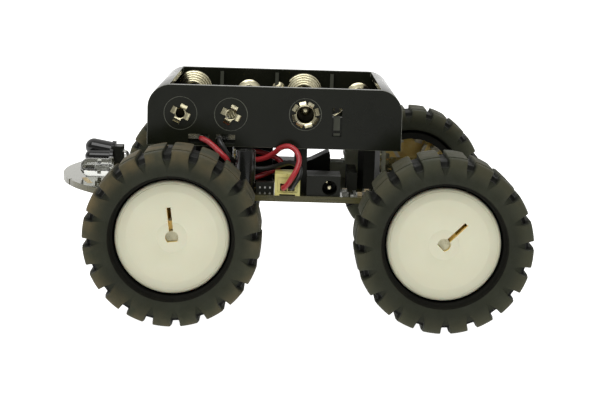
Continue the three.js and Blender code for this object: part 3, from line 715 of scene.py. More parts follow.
def rim(name):
    place = wheel_matrix(name) @ spun(SLIT[name])
    front = [(r, RIM_FACE + z) for r, z in RIM_FRONT]
    back = [(14.3, RIM_INSIDE - 0.5), (14.3, 1.5), (14.2, 1.4), (12.6, 1.4), (12.5, 1.5),
            (12.5, RIM_INSIDE - 0.3), (12.2, RIM_INSIDE), (4.0, RIM_INSIDE), (3.7, RIM_INSIDE - 0.3),
            (3.7, 8.6), (3.6, 8.5), (0, 8.5)]
    # On the back, the barrel and its lip take the near-black bore material as painted shade, and the rest of
    # the cavity takes the amber painted glow.
    inside = [0] * (len(front) - 1) + [2] * 6 + [1] * (len(back) - 6)
    shape = Shape()
    shape.lathe(front + back, 128, place, slots=inside)
    piece = shape.make(f"{name}_rim", ["rim", "amber_glow", "bore"], f"wheel_{name}", [f"rim_{name}"], 30,
                       "rim_plastic")
    # The D bore and the slit are cut with slot 1, so their walls take the amber painted glow.
    bore = Shape()
    bore.prism(d_outline(SHAFT_RADIUS + 0.07, SHAFT_FLAT + 0.07), 7, RIM_FACE + 1, place, 1)
    slit = Shape()
    slit.box((1.2, -0.5, RIM_INSIDE - 1), (7.3, 0.5, RIM_FACE + 1), place, 1)
    carve(piece, bore, slit)
    teeth = Shape()
    for index in range(12):
        turn = place @ spun((index + 0.5) * 30)
        teeth.box((10.6, -1.1, 9), (12.6, 1.1, RIM_INSIDE + 0.1), turn, bevel=0.2)
    for index in range(6):
        turn = place @ spun(index * 60 + 30)
        teeth.box((3.6, -0.45, 11.4), (10.7, 0.45, RIM_INSIDE + 0.1), turn, bevel=0.12)
    teeth.make(f"{name}_rim_teeth", ["cap"], f"wheel_{name}", slot="rim_plastic")


def gear_outline(teeth, outer, root):
    outline = []
    for tooth in range(teeth):
        middle = 360 / teeth * tooth
        for offset, radius in ((-0.36, root), (-0.2, outer), (0.2, outer), (0.36, root)):
            angle = math.radians(middle + offset * 360 / teeth)
            outline.append((radius * math.cos(angle), radius * math.sin(angle)))
    return outline


def output_shaft(name):
    place = wheel_matrix(name) @ spun(SLIT[name])
    shape = Shape()
    shape.prism(d_outline(SHAFT_RADIUS, SHAFT_FLAT), GEARBOX_OUTER + 1, RIM_FACE - 0.8, place, bevel=0.3)
    shape.rod(SHAFT_RADIUS, GEARBOX_INNER + 0.4, GEARBOX_OUTER + 1.1, place, segments=32)
    shape.prism(gear_outline(26, 3.9, 3.45), GEARBOX_OUTER - 3.6, GEARBOX_OUTER - 1.6, place, 1)
    shape.make(f"{name}_shaft", ["steel", "brass"], f"wheel_{name}", [f"output_shaft_{name}"], slot="steel")


# The loose gears of a gearbox: X, Y, teeth, radius and the place of the lower face along the axle.
GEARS = [(3.6, 2.4, 12, 1.5, -2.0), (-3.2, 1.5, 22, 2.5, -1.2), (0.4, -1.6, 20, 2.6, -0.4)]


def gearbox(name):
    place = wheel_matrix(name)
    shape = Shape()
    outline = [(-6, -5), (6, -5), (6, 5), (-6, 5)]
    for low, high in ((GEARBOX_OUTER - 1.2, GEARBOX_OUTER), (GEARBOX_OUTER - 4.8, GEARBOX_OUTER - 4.2),
                      (GEARBOX_INNER, GEARBOX_INNER + 1.2)):
        shape.prism(outline, low, high, place, bevel=0.2)
    bearing = [(1.62, GEARBOX_OUTER - 0.1), (2.1, GEARBOX_OUTER - 0.1), (2.1, GEARBOX_OUTER + 0.7),
               (2.0, GEARBOX_OUTER + 0.8), (1.62, GEARBOX_OUTER + 0.8)]
    shape.lathe(bearing, 36, place)
    for x, y in ((5, 4), (-5, -4), (5, -4), (-5, 4)):
        post = place @ upright(x, y)
        shape.rod(0.7, GEARBOX_INNER + 0.2, GEARBOX_OUTER - 0.2, post, segments=16)
        if x * y > 0:
            shape.rod(0.95, GEARBOX_OUTER - 0.05, GEARBOX_OUTER + 0.45, post, 1, 20)
            # A thin black bar across the head: painted shade for its slot.
            shape.prism([(-0.8, -0.14), (0.8, -0.14), (0.8, 0.14), (-0.8, 0.14)], GEARBOX_OUTER + 0.43,
                        GEARBOX_OUTER + 0.47, post, 2)
    for x, y, teeth, radius, low in GEARS:
        turn = place @ upright(x, y)
        shape.prism(gear_outline(teeth, radius, radius - 0.35), low, low + 0.7, turn)
    shape.make(f"{name}_gearbox", ["brass", "steel", "wire"], replaces=[f"gearbox_{name}"], slot="brass")


def can_outline(radius, half_height):
    """A circle flattened above and below."""
    corner = math.degrees(math.asin(half_height / radius))
    return arc(0, 0, radius, -corner, corner, 14) + arc(0, 0, radius, 180 - corner, 180 + corner, 14)


def motor(name):
    place = wheel_matrix(name)
    shape = Shape()
    shape.prism(can_outline(6, 5), CAN_END + 1.35, GEARBOX_INNER - 0.05, place, bevel=0.35)
    shape.rod(0.5, CAN_END - 1.4, CAN_END + 1.4, place, 1, 16)
    # Thin black discs on the can's flat faces: painted shade for its dimples.
    for turn in (0, 180):
        dimple = place @ spun(turn) @ Matrix.Rotation(-math.pi / 2, 4, "X")
        shape.rod(0.8, 4.94, 5.02, dimple @ upright(0, -(CAN_END + 4)), 2, 20)
    shape.make(f"{name}_motor", ["can", "steel", "wire"], replaces=[f"motor_{name}"], slot="can_metal")
    cap = Shape()
    cap.prism(can_outline(5.65, 4.7), CAN_END, CAN_END + 1.32, place, bevel=0.25)
    cap.lathe([(0.7, CAN_END + 0.1), (2.2, CAN_END + 0.1), (2.2, CAN_END - 0.8), (2.0, CAN_END - 0.9),
               (0.7, CAN_END - 0.9)], 36, place)
    for x in (-4.1, 4.1):
        cap.box((x - 0.7, -1.1, CAN_END - 1.6), (x + 0.7, -0.75, CAN_END + 0.2), place, 1, 0.08)
    cap.make(f"{name}_motor_cap", ["cap", "gold"], replaces=[f"motor_cap_{name}"], slot="cap_plastic")


def bracket_holes(name):
    """The X and Y of the two screws that hold a motor's bracket."""
    return [(AXLE[name].x + x, SIDES[name] * BRACKET_Y) for x in (-BRACKET_SCREW_X, BRACKET_SCREW_X)]


def bracket_fasteners(name):
    """The two screws that hold a bracket, with their nuts on the board."""
    shape = Shape()
    for x, y in bracket_holes(name):
        place = upright(x, y)
        shape.lathe([(0, 23.7), (0.9, 23.75), (1.7, 24.15), (1.95, 24.6), (1.95, 24.9), (0, 24.9)], 28, place)
        # A thin black cross on each head: painted shade for its cross recess.
        for angle in (25, 115):
            cross = place @ spun(angle)
            shape.box((-1.1, -0.2, 23.66), (1.1, 0.2, 23.8), cross, 1)
        shape.rod(0.98, 24.8, BOARD_TOP + 2.3, place, segments=20)
        nut = [(1.0, 0), (2.0, 0), (2.3, 0.25), (2.3, 1.35), (2.0, 1.6), (1.0, 1.6)]
        shape.lathe([(r, BOARD_TOP + 0.02 + z) for r, z in nut], 6, place)
    shape.make(f"{name}_bracket_screws", ["steel", "wire"], slot="steel")


# ---------- circuit board ----------
def board_outline():
    centre = board_high.x - NOSE_RADIUS
    sweep = math.degrees(math.asin(BOARD_HALF / NOSE_RADIUS))
    outline = arc(centre, 0, NOSE_RADIUS, -sweep, sweep, 64)
    notch_angle = 23
    outline = [p for p in outline if abs(math.degrees(math.atan2(p[1], p[0] - centre)) - notch_angle) > 0.9]
    for edge in (-0.55, 0.55):
        for depth in ((0, 0.7) if edge < 0 else (0.7, 0)):
            angle = math.radians(notch_angle + edge)
            radius = NOSE_RADIUS - depth
            outline.append((centre + radius * math.cos(angle), radius * math.sin(angle)))
    outline.sort(key=lambda p: math.atan2(p[1], p[0] - centre))
    left = []
    for name in ("front_left", "rear_left"):
        x = AXLE[name].x
        left += [(x + 14.1, BOARD_HALF), (x + 12.6, EAR_HALF), (x - 12.6, EAR_HALF), (x - 14.1, BOARD_HALF)]
    left += [(board_low.x, BOARD_HALF - 3)]
    right = [(x, -y) for x, y in reversed(left)]
    return outline + left + right


def circuit_board():
    shape = Shape()
    made = shape.prism(board_outline(), BOARD_BOTTOM, BOARD_TOP)
    for face in made[2:]:
        face.material_index = 1
    piece = shape.make("board", ["mask", "laminate"], replaces=["circuit_board"], slot="board")
    holes = Shape()
    for number in range(1, 5):
        place = upright(*middle(*node_box(f"standoff_{number}")))
        holes.rod(1.6, BOARD_BOTTOM - 1, BOARD_TOP + 1, place, 1, 24)
    for name in SIDES:
        for x, y in bracket_holes(name):
            holes.rod(1.1, BOARD_BOTTOM - 1, BOARD_TOP + 1, upright(x, y), 1, 20)
    carve(piece, holes)


def ring_pad(shape, x, y, outer, inner, top=True, slot=0):
    z = BOARD_TOP if top else BOARD_BOTTOM - 0.04
    ring = [(inner, z - 0.02), (outer, z - 0.02), (outer, z + 0.05), (inner, z + 0.05)]
    shape.lathe(ring, 24, upright(x, y), slot)


def flat_pad(shape, x, y, length, width, top=True):
    z = BOARD_TOP - 0.01 if top else BOARD_BOTTOM - 0.05
    low = (x - length / 2, y - width / 2, z)
    high = (x + length / 2, y + width / 2, z + 0.06)
    shape.box(low, high, bevel=0.01)


def copper():
    """Mounting rings, plated holes and bare pads, on both faces of the board."""
    shape = Shape()
    for name, side in SIDES.items():
        for x, y in bracket_holes(name):
            for top in (True, False):
                ring_pad(shape, x, y, 2.5, 1.15, top)
        y = side * 25.2
        for x in (-4.1, 4.1):
            for top in (True, False):
                ring_pad(shape, AXLE[name].x + x, y, 1.1, 0.45, top, 1)
    for index in range(60):
        x = rng.uniform(-48, 52)
        y = rng.uniform(-31, 31)
        if (x - board_high.x + NOSE_RADIUS) ** 2 + y ** 2 > 50 ** 2 and x > 20:
            continue
        ring_pad(shape, x, y, 0.42, 0.18, index % 3 > 0)
    for index in range(5):
        flat_pad(shape, 52.6 - 0.55 * index, 15.6 + 1.9 * index, 1.5, 1.0)
    for index in range(6):
        for side in (-1, 1):
            flat_pad(shape, -46 + index * 2.54, side * 29.5, 1.7, 1.7)
            flat_pad(shape, -46 + index * 2.54, side * 29.5, 1.7, 1.7, False)
    for index in range(10):
        flat_pad(shape, -12 + index * 2.54, 0, 1.6, 1.2, False)
        flat_pad(shape, -12 + index * 2.54, 7.6, 1.6, 1.2, False)
    shape.make("board_copper", ["gold", "solder"], slot="brass")


def tracks():
    """Lacquered copper tracks with one bend, on both faces of the board in turn."""
    lines = Shape()
    for index in range(22):
        x = -49 + index * 4.4 + rng.uniform(-1, 1)
        y = rng.uniform(-26, 20)
        top = index % 2 == 0
        z = BOARD_TOP - 0.01 if top else BOARD_BOTTOM - 0.03
        bend = rng.uniform(4, 9)
        path = [(x, y), (x, y + bend), (x + 2.2, y + bend + 2.2), (x + 2.2, y + bend + 6)]
        for (ax, ay), (bx, by) in zip(path, path[1:]):
            angle = math.atan2(by - ay, bx - ax)
            turn = Matrix.Translation((ax, ay, z)) @ Matrix.Rotation(angle, 4, "Z")
            lines.box((0, -0.2, 0), (math.hypot(bx - ax, by - ay), 0.2, 0.04), turn)
    lines.make("board_tracks", ["mask"], slot="board")


# Length, width, height and material slot of the kinds of small parts.
SMALL_KINDS = [(1.6, 0.8, 0.5, 0), (2.0, 1.25, 0.9, 2), (1.6, 0.8, 0.8, 2), (2.0, 1.25, 0.55, 0)]


def small_part(shape, x, y, kind, turned):
    """A surface-mounted resistor or capacitor: a block between two soldered end caps."""
    length, width, height, body_slot = SMALL_KINDS[kind % 4]
    place = upright(x, y, BOARD_TOP + 0.05) @ spun(90 * turned)
    half = length / 2
    edge = width / 2
    cap = length * 0.2
    low = (-half + cap, -edge + 0.03, 0)
    high = (half - cap, edge - 0.03, height - 0.03)
    shape.box(low, high, place, body_slot, 0.04)
    for side in (-1, 1):
        near, far = sorted((side * (half - cap), side * half))
        shape.box((near, -edge, 0), (far, edge, height), place, 1, 0.07)
        near, far = sorted((side * half, side * (half + 0.25)))
        shape.box((near, -edge, -0.04), (far, edge, height * 0.35), place, 1, 0.1)


def small_parts():
    shape = Shape()
    rows = [(-17.6, 33.4, 1), (-19.6, 32.6, 0), (-20.8, 30.4, 1), (-17.4, 30.6, 0), (-18.4, 28.0, 1),
            (-21.6, 27.2, 0), (-22.8, 33.0, 1), (-23.6, 30.0, 1), (-25.2, 32.4, 0), (-15.9, 27.4, 1)]
    for index, (x, y, turned) in enumerate(rows):
        small_part(shape, x, y, index, turned)
    for index in range(9):
        small_part(shape, 22 - index * 2.4, -6.4 - (index % 2) * 1.6, index % 3, 1)
    for index in range(6):
        small_part(shape, -34 - index * 2.2, -14, index, 1)
        small_part(shape, 40 + index * 2.0, -2 + (index % 2), index + 1, 1)
    shape.make("small_parts", ["black", "solder", "ceramic"], slot="chip_plastic")


# ---------- battery tray ----------
def tray_outline(inset, floor, roof):
    """The tray's end walls seen from the side: square below, rounded above. XZ points."""
    left = TRAY_X - TRAY_HALF + inset
    right = TRAY_X + TRAY_HALF - inset
    radius = TRAY_CORNER - inset
    outline = [(left, floor), (right, floor)]
    outline += arc(right - radius, roof - radius, radius, 0, 90, 14)
    outline += arc(left + radius, roof - radius, radius, 90, 180, 14)
    return outline


def across(outline, y0, y1):
    """A Shape with an XZ outline that runs from y0 to y1."""
    shape = Shape()
    turn = Matrix(((1, 0, 0, 0), (0, 0, -1, 0), (0, 1, 0, 0), (0, 0, 0, 1)))
    shape.prism(outline, -y1, -y0, turn)
    return shape


def cutter_box(low, high):
    shape = Shape()
    shape.box(low, high)
    return shape


def cutter_hole(x, z, radius, depth):
    shape = Shape()
    shape.rod(radius, -depth, 2, outward(x, z), segments=48, edge=0.01)
    return shape


def screw_hole(number):
    """A countersunk hole through the tray's floor."""
    floor = tray_low.z
    shape = Shape()
    profile = [(0, floor - 1), (1.55, floor - 1), (1.55, floor), (2.8, floor + 1.5), (2.8, floor + 2),
               (0, floor + 2)]
    shape.lathe(profile, 32, upright(*middle(*node_box(f"tray_screw_{number}"))))
    return shape


def battery_tray():
    floor = tray_low.z
    roof = tray_high.z
    inner = TRAY_INNER
    shape = across(tray_outline(0, floor, roof), -TRAY_FACE, TRAY_FACE)
    tray = shape.make("tray", ["tray", "painted_edge_highlight"], replaces=["battery_tray"], slot="black_plastic")
    mouth = TRAY_HALF - TRAY_CORNER + 0.6
    cuts = [across(tray_outline(TRAY_WALL, floor + TRAY_WALL, roof - TRAY_WALL), -inner, inner),
            cutter_box((TRAY_X - mouth, -inner, roof - 4), (TRAY_X + mouth, inner, roof + 1))]
    cuts += [screw_hole(number) for number in range(1, 5)]
    carve(tray, *cuts)
    rounding = round_edges(tray, 0.4, 3)
    rounding.miter_outer = "MITER_ARC"
    # The rounded edges take slot 1, the lighter painted highlight.
    rounding.material = 1
    bake_modifiers(tray)
    shade_flat_walls(tray)
    holes = [cutter_hole(EYELET_X, EYELET_Z, 2.55, 3), groove(EYELET_X, EYELET_Z, 4.2)]
    for x0, x1 in ((12.6, 17.5), (19.3, 24.6)):
        holes.append(cutter_box((x0, inner - 1, 40.6), (x1, TRAY_FACE + 1, 42.9)))
    holes.append(cutter_box((SLOT_X - 1.25, inner - 1, 43.2), (SLOT_X + 1.25, TRAY_FACE + 1, 50.5)))
    for x in STAR_X:
        holes.append(cutter_hole(x, STAR_Z, 1.5, 3))
        holes.append(groove(x, STAR_Z, 4.3))
    carve(tray, *holes)
    shade_flat_walls(tray)


def tray_ribs():
    """Ribs and rests for the cells, strips on the far wall, and the filling of the slot; the strips and two
    bars in the slot are lighter as painted highlight.
    """
    floor = tray_low.z
    roof = tray_high.z
    inner = TRAY_INNER
    ribs = Shape()
    for step in (-1, 0, 1):
        x = TRAY_X + step * CELL_PITCH
        ribs.box((x - 0.6, -inner - 0.1, floor + 1.3), (x + 0.6, inner + 0.1, floor + 5.2), bevel=0.2)
        for side in (-1, 1):
            near, far = sorted((side * (inner + 0.1), side * (inner - 1.1)))
            ribs.box((x - 0.6, near, floor + 1.3), (x + 0.6, far, roof - 0.6), bevel=0.2)
        # The strip on the far wall is lighter: painted highlight.
        ribs.box((x - 0.5, -inner + 0.5, floor + 9), (x + 0.5, -inner + 1.16, roof - 0.9), slot=1, bevel=0.2)
    ribs.box((SLOT_X - 1.6, inner - 1.4, floor + 1.3), (SLOT_X + 1.6, inner + 0.12, 48.0), bevel=0.1)
    # These two bars in the slot are lighter: painted highlight.
    ribs.box((SLOT_X - 0.8, inner, 44.6), (SLOT_X + 0.85, inner + 0.35, 48.3), slot=1, bevel=0.12)
    ribs.box((SLOT_X - 0.8, inner, 43.3), (SLOT_X + 0.8, inner + 0.9, 43.9), slot=1, bevel=0.15)
    for step in (-1.5, -0.5, 0.5, 1.5):
        x = TRAY_X + step * CELL_PITCH
        for y in (-16, 0, 16):
            for side in (-1, 1):
                low, high = sorted((side * 4.4, side * 6.4))
                ribs.box((x + low, y - 0.6, floor + 1.3), (x + high, y + 0.6, floor + 2.6), bevel=0.2)
    ribs.make("tray_ribs", ["tray", "painted_highlight"], slot="black_plastic")


# ---------- battery contacts ----------
SPRING_RADIUS = 5.05
SPRING_WIRE = 0.5
BUTTON_RADIUS = 3.7


def spring_path(x, wall_y, inwards):
    """A conical coil, wide end on the plate, that ends in a flat turn."""
    turns = 4.6
    steps = 130
    path = []
    for i in range(steps + 1):
        share = i / steps
        radius = SPRING_RADIUS - 2.5 * share
        rise = 0.5 + 5.4 * min(1, max(0, share - 0.08) / 0.84)
        angle = 2 * math.pi * turns * share + 0.6
        path.append(Vector((x + radius * math.cos(angle), wall_y + inwards * rise,
                            CELL_HEIGHT + 0.4 + radius * math.sin(angle))))
    return path


def contact(name, side, cells):
    """Plates on a wall, joined by a strap, with a hollow button or a spring on each."""
    wall = side * (TRAY_INNER - 0.1)
    plate = wall - side * 0.45
    strap_low = CELL_HEIGHT - 5.2
    near, far = sorted((wall, plate))
    plates = Shape()
    tips = Shape()
    for place, kind in cells:
        x = TRAY_X + place * CELL_PITCH
        plates.box((x - 5.5, near, strap_low + 0.05), (x + 5.5, far, CELL_HEIGHT + 1.5), bevel=0.12)
        if kind == "spring":
            tips.tube(spring_path(x, plate, -side), SPRING_WIRE, 12)
        else:
            dome = outward(x, CELL_HEIGHT, -side)
            dome.translation.y = plate
            outer = [(BUTTON_RADIUS, 0), (BUTTON_RADIUS - 0.1, 0.3), (3.0, 0.6), (2.6, 1.2), (2.2, 1.5),
                     (0, 1.6)]
            hollow = [(0, 1.3), (2.0, 1.2), (2.3, 0.9), (2.5, 0.2), (2.6, 0)]
            # The hollow inside the button takes slot 1: painted shade.
            tips.lathe(hollow + outer, 40, dome, slots=[1] * len(hollow) + [0] * len(outer))
    if len(cells) == 2:
        ends = sorted(TRAY_X + place * CELL_PITCH for place, _ in cells)
        plates.box((ends[0], near + 0.01, strap_low + 0.1), (ends[1], far - 0.01, strap_low + 2.3), bevel=0.1)
    if name == "near_middle":
        dome = outward(EYELET_X, EYELET_Z + 0.9, -1)
        dome.translation.y = plate - 1.9
        ball = [(1.7 * math.sin(a), -1.7 * math.cos(a)) for a in (math.pi * i / 16 for i in range(1, 13))]
        tips.lathe([(0, -1.7)] + ball + [(0, 1.3)], 30, dome)
    piece = plates.make(f"contact_{name}_metal", ["nickel"], replaces=[f"contact_{name}"],
                        slot="contact_metal")
    tips.make(f"contact_{name}_tips", ["nickel", "painted_hollow_shade"], slot="contact_metal")
    if side > 0:
        depth = TRAY_WALL + 1.0
        stars = [cutter_hole(x, STAR_Z, 1.4, depth) for x in STAR_X]
        carve(piece, cutter_hole(EYELET_X, EYELET_Z, 2.5, depth), *stars)


def petal_rivet(name, node, x, z, petals, length, hole, first):
    """A tube whose end is split into petals of that length and curled over onto the wall."""
    shape = Shape()
    face = outward(x, z)
    neck = [(hole, -1.6), (hole, 0.3), (hole + 0.1, 0.55), (hole + 0.3, 0.62), (hole + 0.34, 0.3),
            (hole + 0.3, -1.6)]
    # The bore of the neck and its lower end take slot 1: painted shade.
    shape.lathe(neck, 40, face, slots=[1, 0, 0, 0, 0, 1])
    for index in range(petals):
        turn = 360 / petals * index + first + (rng.uniform(-PETAL_LEAN, PETAL_LEAN) if index else 0)
        reach = length * rng.uniform(0.94, 1.05)
        curl = [(hole + 0.08, 0.25), (hole + 0.2, 0.62), (hole + 0.5, 0.78), (reach - 0.5, 0.66),
                (reach - 0.12, 0.42), (reach, 0.08), (reach - 0.25, 0.05), (reach - 0.45, 0.32),
                (hole + 0.45, 0.48), (hole + 0.3, 0.2)]
        half = PETAL_WIDTH * rng.uniform(0.9, 1.08) / 2
        strip = spun(turn) @ Matrix.Rotation(math.pi / 2, 4, "X")
        shape.prism(curl[::-1], -half, half, face @ strip, bevel=0.1)
    shape.make(name, ["nickel", "painted_hollow_shade"], replaces=[node], slot="contact_metal")


def rivets():
    for number, x in enumerate(STAR_X, 1):
        petal_rivet(f"star_{number}", f"star_rivet_{number}", x, STAR_Z, 4, 2.65, 1.12, 64)
    petal_rivet("crown", "crown_eyelet", EYELET_X, EYELET_Z, 8, 3.65, 2.15, 15)
    strip = Shape()
    y = TRAY_FACE - 1.0
    strip.tube(curve([(SLOT_X + 1.5, y - 0.5, 48.3), (SLOT_X + 0.6, y, 48.6), (SLOT_X - 0.3, y, 49.0),
                      (SLOT_X - 1.4, y - 0.3, 49.7)], 6), 0.42, 10, squeeze=0.6)
    strip.make("slot_strip", ["nickel"], slot="contact_metal")
    blob = Shape()
    place = outward(2.1, 50.0, -1)
    place.translation.y = -TRAY_INNER
    place = place @ Matrix.Rotation(math.pi, 4, "X")
    blob.lathe([(0, -0.1), (1.9, -0.1), (1.8, 0.6), (1.1, 1.15), (0, 1.25)], 30, place)
    blob.make("wall_rivet", ["nickel"], slot="contact_metal")


# ---------- standoffs and screws ----------
def hexagon(across_flats, turn=0):
    radius = across_flats / math.sqrt(3)
    angles = [math.radians(60 * i + turn) for i in range(6)]
    return [(radius * math.cos(a), radius * math.sin(a)) for a in angles]


def standoff(number):
    place = upright(*middle(*node_box(f"standoff_{number}")))
    shape = Shape()
    shape.prism(hexagon(5), BOARD_TOP + 0.02, tray_low.z - 0.02, place, bevel=0.18)
    shape.rod(1.45, BOARD_BOTTOM - 3.4, BOARD_TOP + 0.5, place, 1, 24)
    for turn in range(6):
        ring = BOARD_BOTTOM - 3.2 + turn * 0.12
        shape.lathe([(1.4, ring), (1.5, ring + 0.03), (1.4, ring + 0.06)], 20, place, 1)
    shape.prism(hexagon(5.4, 14), BOARD_BOTTOM - 2.5, BOARD_BOTTOM - 0.1, place, 0, 0.2)
    shape.make(f"standoff_{number}_body", ["black", "wire"], replaces=[f"standoff_{number}"],
               slot="black_plastic")
    head = Shape()
    top = tray_low.z + TRAY_WALL - 0.05
    profile = [(0, -5.5), (1.2, -5.5), (1.2, -1.6), (2.66, -0.1), (2.6, 0), (0, 0.02)]
    head.lathe([(r, top + z) for r, z in profile], 36, place)
    # A thin black cross on the head: painted shade for its cross recess.
    for angle in (15, 105):
        cross = place @ spun(angle + 30 * number)
        head.box((-1.4, -0.25, top - 0.2), (1.4, 0.25, top + 0.045), cross, 1)
    head.make(f"tray_screw_{number}_head", ["steel", "wire"], replaces=[f"tray_screw_{number}"], slot="steel")


# ---------- parts on the board ----------
def capacitor():
    low, high = node_box("capacitor")
    place = upright(*middle(low, high), low.z)
    height = high.z - low.z
    shape = Shape()
    sleeve = [(0, 0.05), (2.1, 0.05), (2.4, 0.2), (2.5, 0.5), (2.5, 1.2), (2.3, 1.45), (2.3, 1.75),
              (2.5, 2.0), (2.5, height - 0.35), (2.42, height - 0.08), (2.15, height),
              (2.05, height - 0.08), (0, height - 0.1)]
    shape.lathe(sleeve, 56, place)
    lid = [(0, height - 0.12), (2.02, height - 0.12), (1.95, height - 0.04), (0, height - 0.04)]
    shape.lathe(lid, 40, place, 1)
    # Thin black lines across the lid: painted shade for its scored vent.
    for angle in (0, 90):
        cross = place @ spun(angle)
        shape.box((-1.5, -0.06, height - 0.05), (1.5, 0.06, height - 0.02), cross, 2)
    angles = [math.radians(a) for a in range(164, 180, 3)]
    stripe = [(2.515 * math.cos(a), 2.515 * math.sin(a)) for a in angles]
    inner = [(p[0] * 0.97, p[1] * 0.97) for p in reversed(stripe)]
    shape.prism(stripe + inner, 2.4, height - 0.6, place, 3)
    shape.make("capacitor_can", ["sleeve", "can", "wire", "print"], replaces=["capacitor"], slot="sleeve")


def pin_socket():
    low, high = node_box("pin_socket")
    shape = Shape()
    shape.box(low, high, bevel=0.12)
    x = low.x + 1.03
    y = high.y
    z = low.z
    while x < high.x - 0.5:
        # A thin black plate at each opening: painted shade for the hole.
        shape.box((x - 0.32, y - 0.02, z + 1.0), (x + 0.32, y + 0.02, z + 1.75), slot=1)
        shape.box((x - 0.2, y, z + 1.15), (x + 0.2, y + 0.08, z + 1.6), slot=2, bevel=0.03)
        shape.box((x - 0.22, y - 0.1, z - 0.02), (x + 0.22, y + 0.75, z + 0.2), slot=2, bevel=0.05)
        x += 1.27
    shape.make("pin_socket_strip", ["black", "wire", "solder"], replaces=["pin_socket"], slot="black_plastic")


def battery_connector():
    low, high = node_box("battery_header")
    key = (low.x + high.x) / 2
    top = high.z
    header = Shape()
    header.box((low.x, low.y, low.z + 0.35), high, bevel=0.18)
    header.box((low.x, low.y + 0.2, low.z), (low.x + 1.2, high.y - 0.1, low.z + 0.5), bevel=0.08)
    header.box((high.x - 1.2, low.y + 0.2, low.z), (high.x, high.y - 0.1, low.z + 0.5), bevel=0.08)
    piece = header.make("header", ["connector"], replaces=["battery_header"], slot="connector")
    carve(piece, cutter_box((low.x + 0.65, low.y + 2, low.z + 0.85), (high.x - 0.65, high.y + 1, top - 0.85)),
          cutter_box((key - 0.1, high.y - 0.8, top - 0.5), (key + 0.2, high.y + 1, top + 1)))
    low, high = node_box("battery_plug")
    plug = Shape()
    plug.box(low, (high.x, high.y, high.z + 0.52), bevel=0.08)
    piece = plug.make("plug", ["connector", "wire"], replaces=["battery_plug"], slot="connector")
    holes = []
    # The lead holes are cut with slot 1, so their walls take the black jacket as painted shade.
    for x in LEAD_HOLES:
        hole = Shape()
        hole.box((x - 0.85, high.y - 2.2, LEAD_HOLE_Z - 0.9), (x + 0.85, high.y + 1, LEAD_HOLE_Z + 0.95),
                 slot=1)
        holes.append(hole)
    carve(piece, *holes)


header_low, header_high = node_box("battery_header")
LEAD_HOLES = ((header_low.x + header_high.x) / 2 + 1, (header_low.x + header_high.x) / 2 - 1)
LEAD_HOLE_Z = header_low.z + 2.1
PLUG_FACE = header_high.y - 0.2
LEAD_RADIUS = 0.68
RED_ROUTE = [
    (LEAD_HOLES[0], PLUG_FACE - 2.2, LEAD_HOLE_Z), (LEAD_HOLES[0], 36.6, LEAD_HOLE_Z), (-0.9, 37.4, 31.6),
    (-2.2, 37.6, 33.6), (-3.4, 37.1, 35.8), (-3.9, 35.9, 38.0), (-3.0, 34.4, 40.0), (-1.2, 33.2, 40.9),
    (0.8, 31.7, 40.3), (2.6, 29.9, 38.6), (4.8, 28.0, 37.1), (7.2, 26.6, 36.4), (9.6, 25.8, 36.7),
    (10.4, 24.6, 37.4), (8.6, 23.8, 38.1), (5.4, 23.6, 37.8), (1.9, 24.0, 36.6), (0.6, 24.8, 35.4),
    (2.2, 25.6, 33.8), (5.8, 26.4, 32.2), (9.0, 26.8, 31.4), (11.6, 27.4, 31.9), (13.2, 28.8, 33.4),
    (14.0, 31.0, 35.6), (14.5, 32.4, 37.1), (15.8, 32.4, 38.4), (17.6, 31.4, 39.9), (19.4, 30.4, 41.2),
    (20.7, 29.7, 41.7), (21.2, 28.8, 41.75), (21.2, 27.5, 41.75),
]
BLACK_ROUTE = [
    (LEAD_HOLES[1], PLUG_FACE - 2.2, LEAD_HOLE_Z), (LEAD_HOLES[1], 36.4, LEAD_HOLE_Z), (-2.8, 36.9, 31.9),
    (-4.0, 36.6, 33.9), (-4.0, 35.2, 35.9), (-1.8, 32.0, 36.6), (0.4, 30.2, 35.8), (2.8, 28.8, 34.8),
    (5.6, 28.0, 34.2), (8.6, 27.7, 34.4), (11.4, 28.2, 35.2), (13.2, 29.4, 36.6), (14.5, 30.4, 38.1),
    (15.5, 30.4, 39.8), (16.3, 29.9, 41.0), (16.6, 29.0, 41.7), (16.6, 27.5, 41.75),
]


def leads():
    for name, route, jacket in (("red", RED_ROUTE, "red"), ("black", BLACK_ROUTE, "wire")):
        shape = Shape()
        shape.tube(curve(route, 6), LEAD_RADIUS, 18)
        shape.make(f"{name}_wire", [jacket], replaces=[f"{name}_lead"], slot=f"{name}_wire")


def power_jack():
    low, high = node_box("power_jack")
    pin_low, pin_high = node_box("power_jack_pin")
    hole_x = (pin_low.x + pin_high.x) / 2
    hole_z = (pin_low.z + pin_high.z) / 2
    top = low.z + 5.1
    body = Shape()
    body.box(low, (high.x, high.y, top), bevel=0.16)
    body.box((low.x + 0.35, high.y - 2.7, top - 0.1), (low.x + 1.45, high.y - 1.2, high.z), bevel=0.12)
    body.box((low.x + 1.6, low.y + 0.2, top - 0.1), (high.x - 0.3, high.y - 2.2, top + 0.35), bevel=0.15)
    piece = body.make("jack", ["black"], replaces=["power_jack"], slot="black_plastic")
    bore = Shape()
    bore.rod(1.9, -7.5, 1, facing_left(hole_x, hole_z, high.y), segments=48, edge=0.01)
    carve(piece, bore)
    pin = Shape()
    face = facing_left(hole_x, hole_z, high.y)
    pin.lathe([(0, -7.4), (0.65, -7.4), (0.65, -1.75), (0.6, -1.35), (0.42, -1.15), (0, -1.1)], 28, face)
    pin.box((0.5, -1.35, -7.2), (0.85, -0.95, -3.0), face, bevel=0.08)
    pin.make("jack_pin", ["nickel"], replaces=["power_jack_pin"], slot="steel")


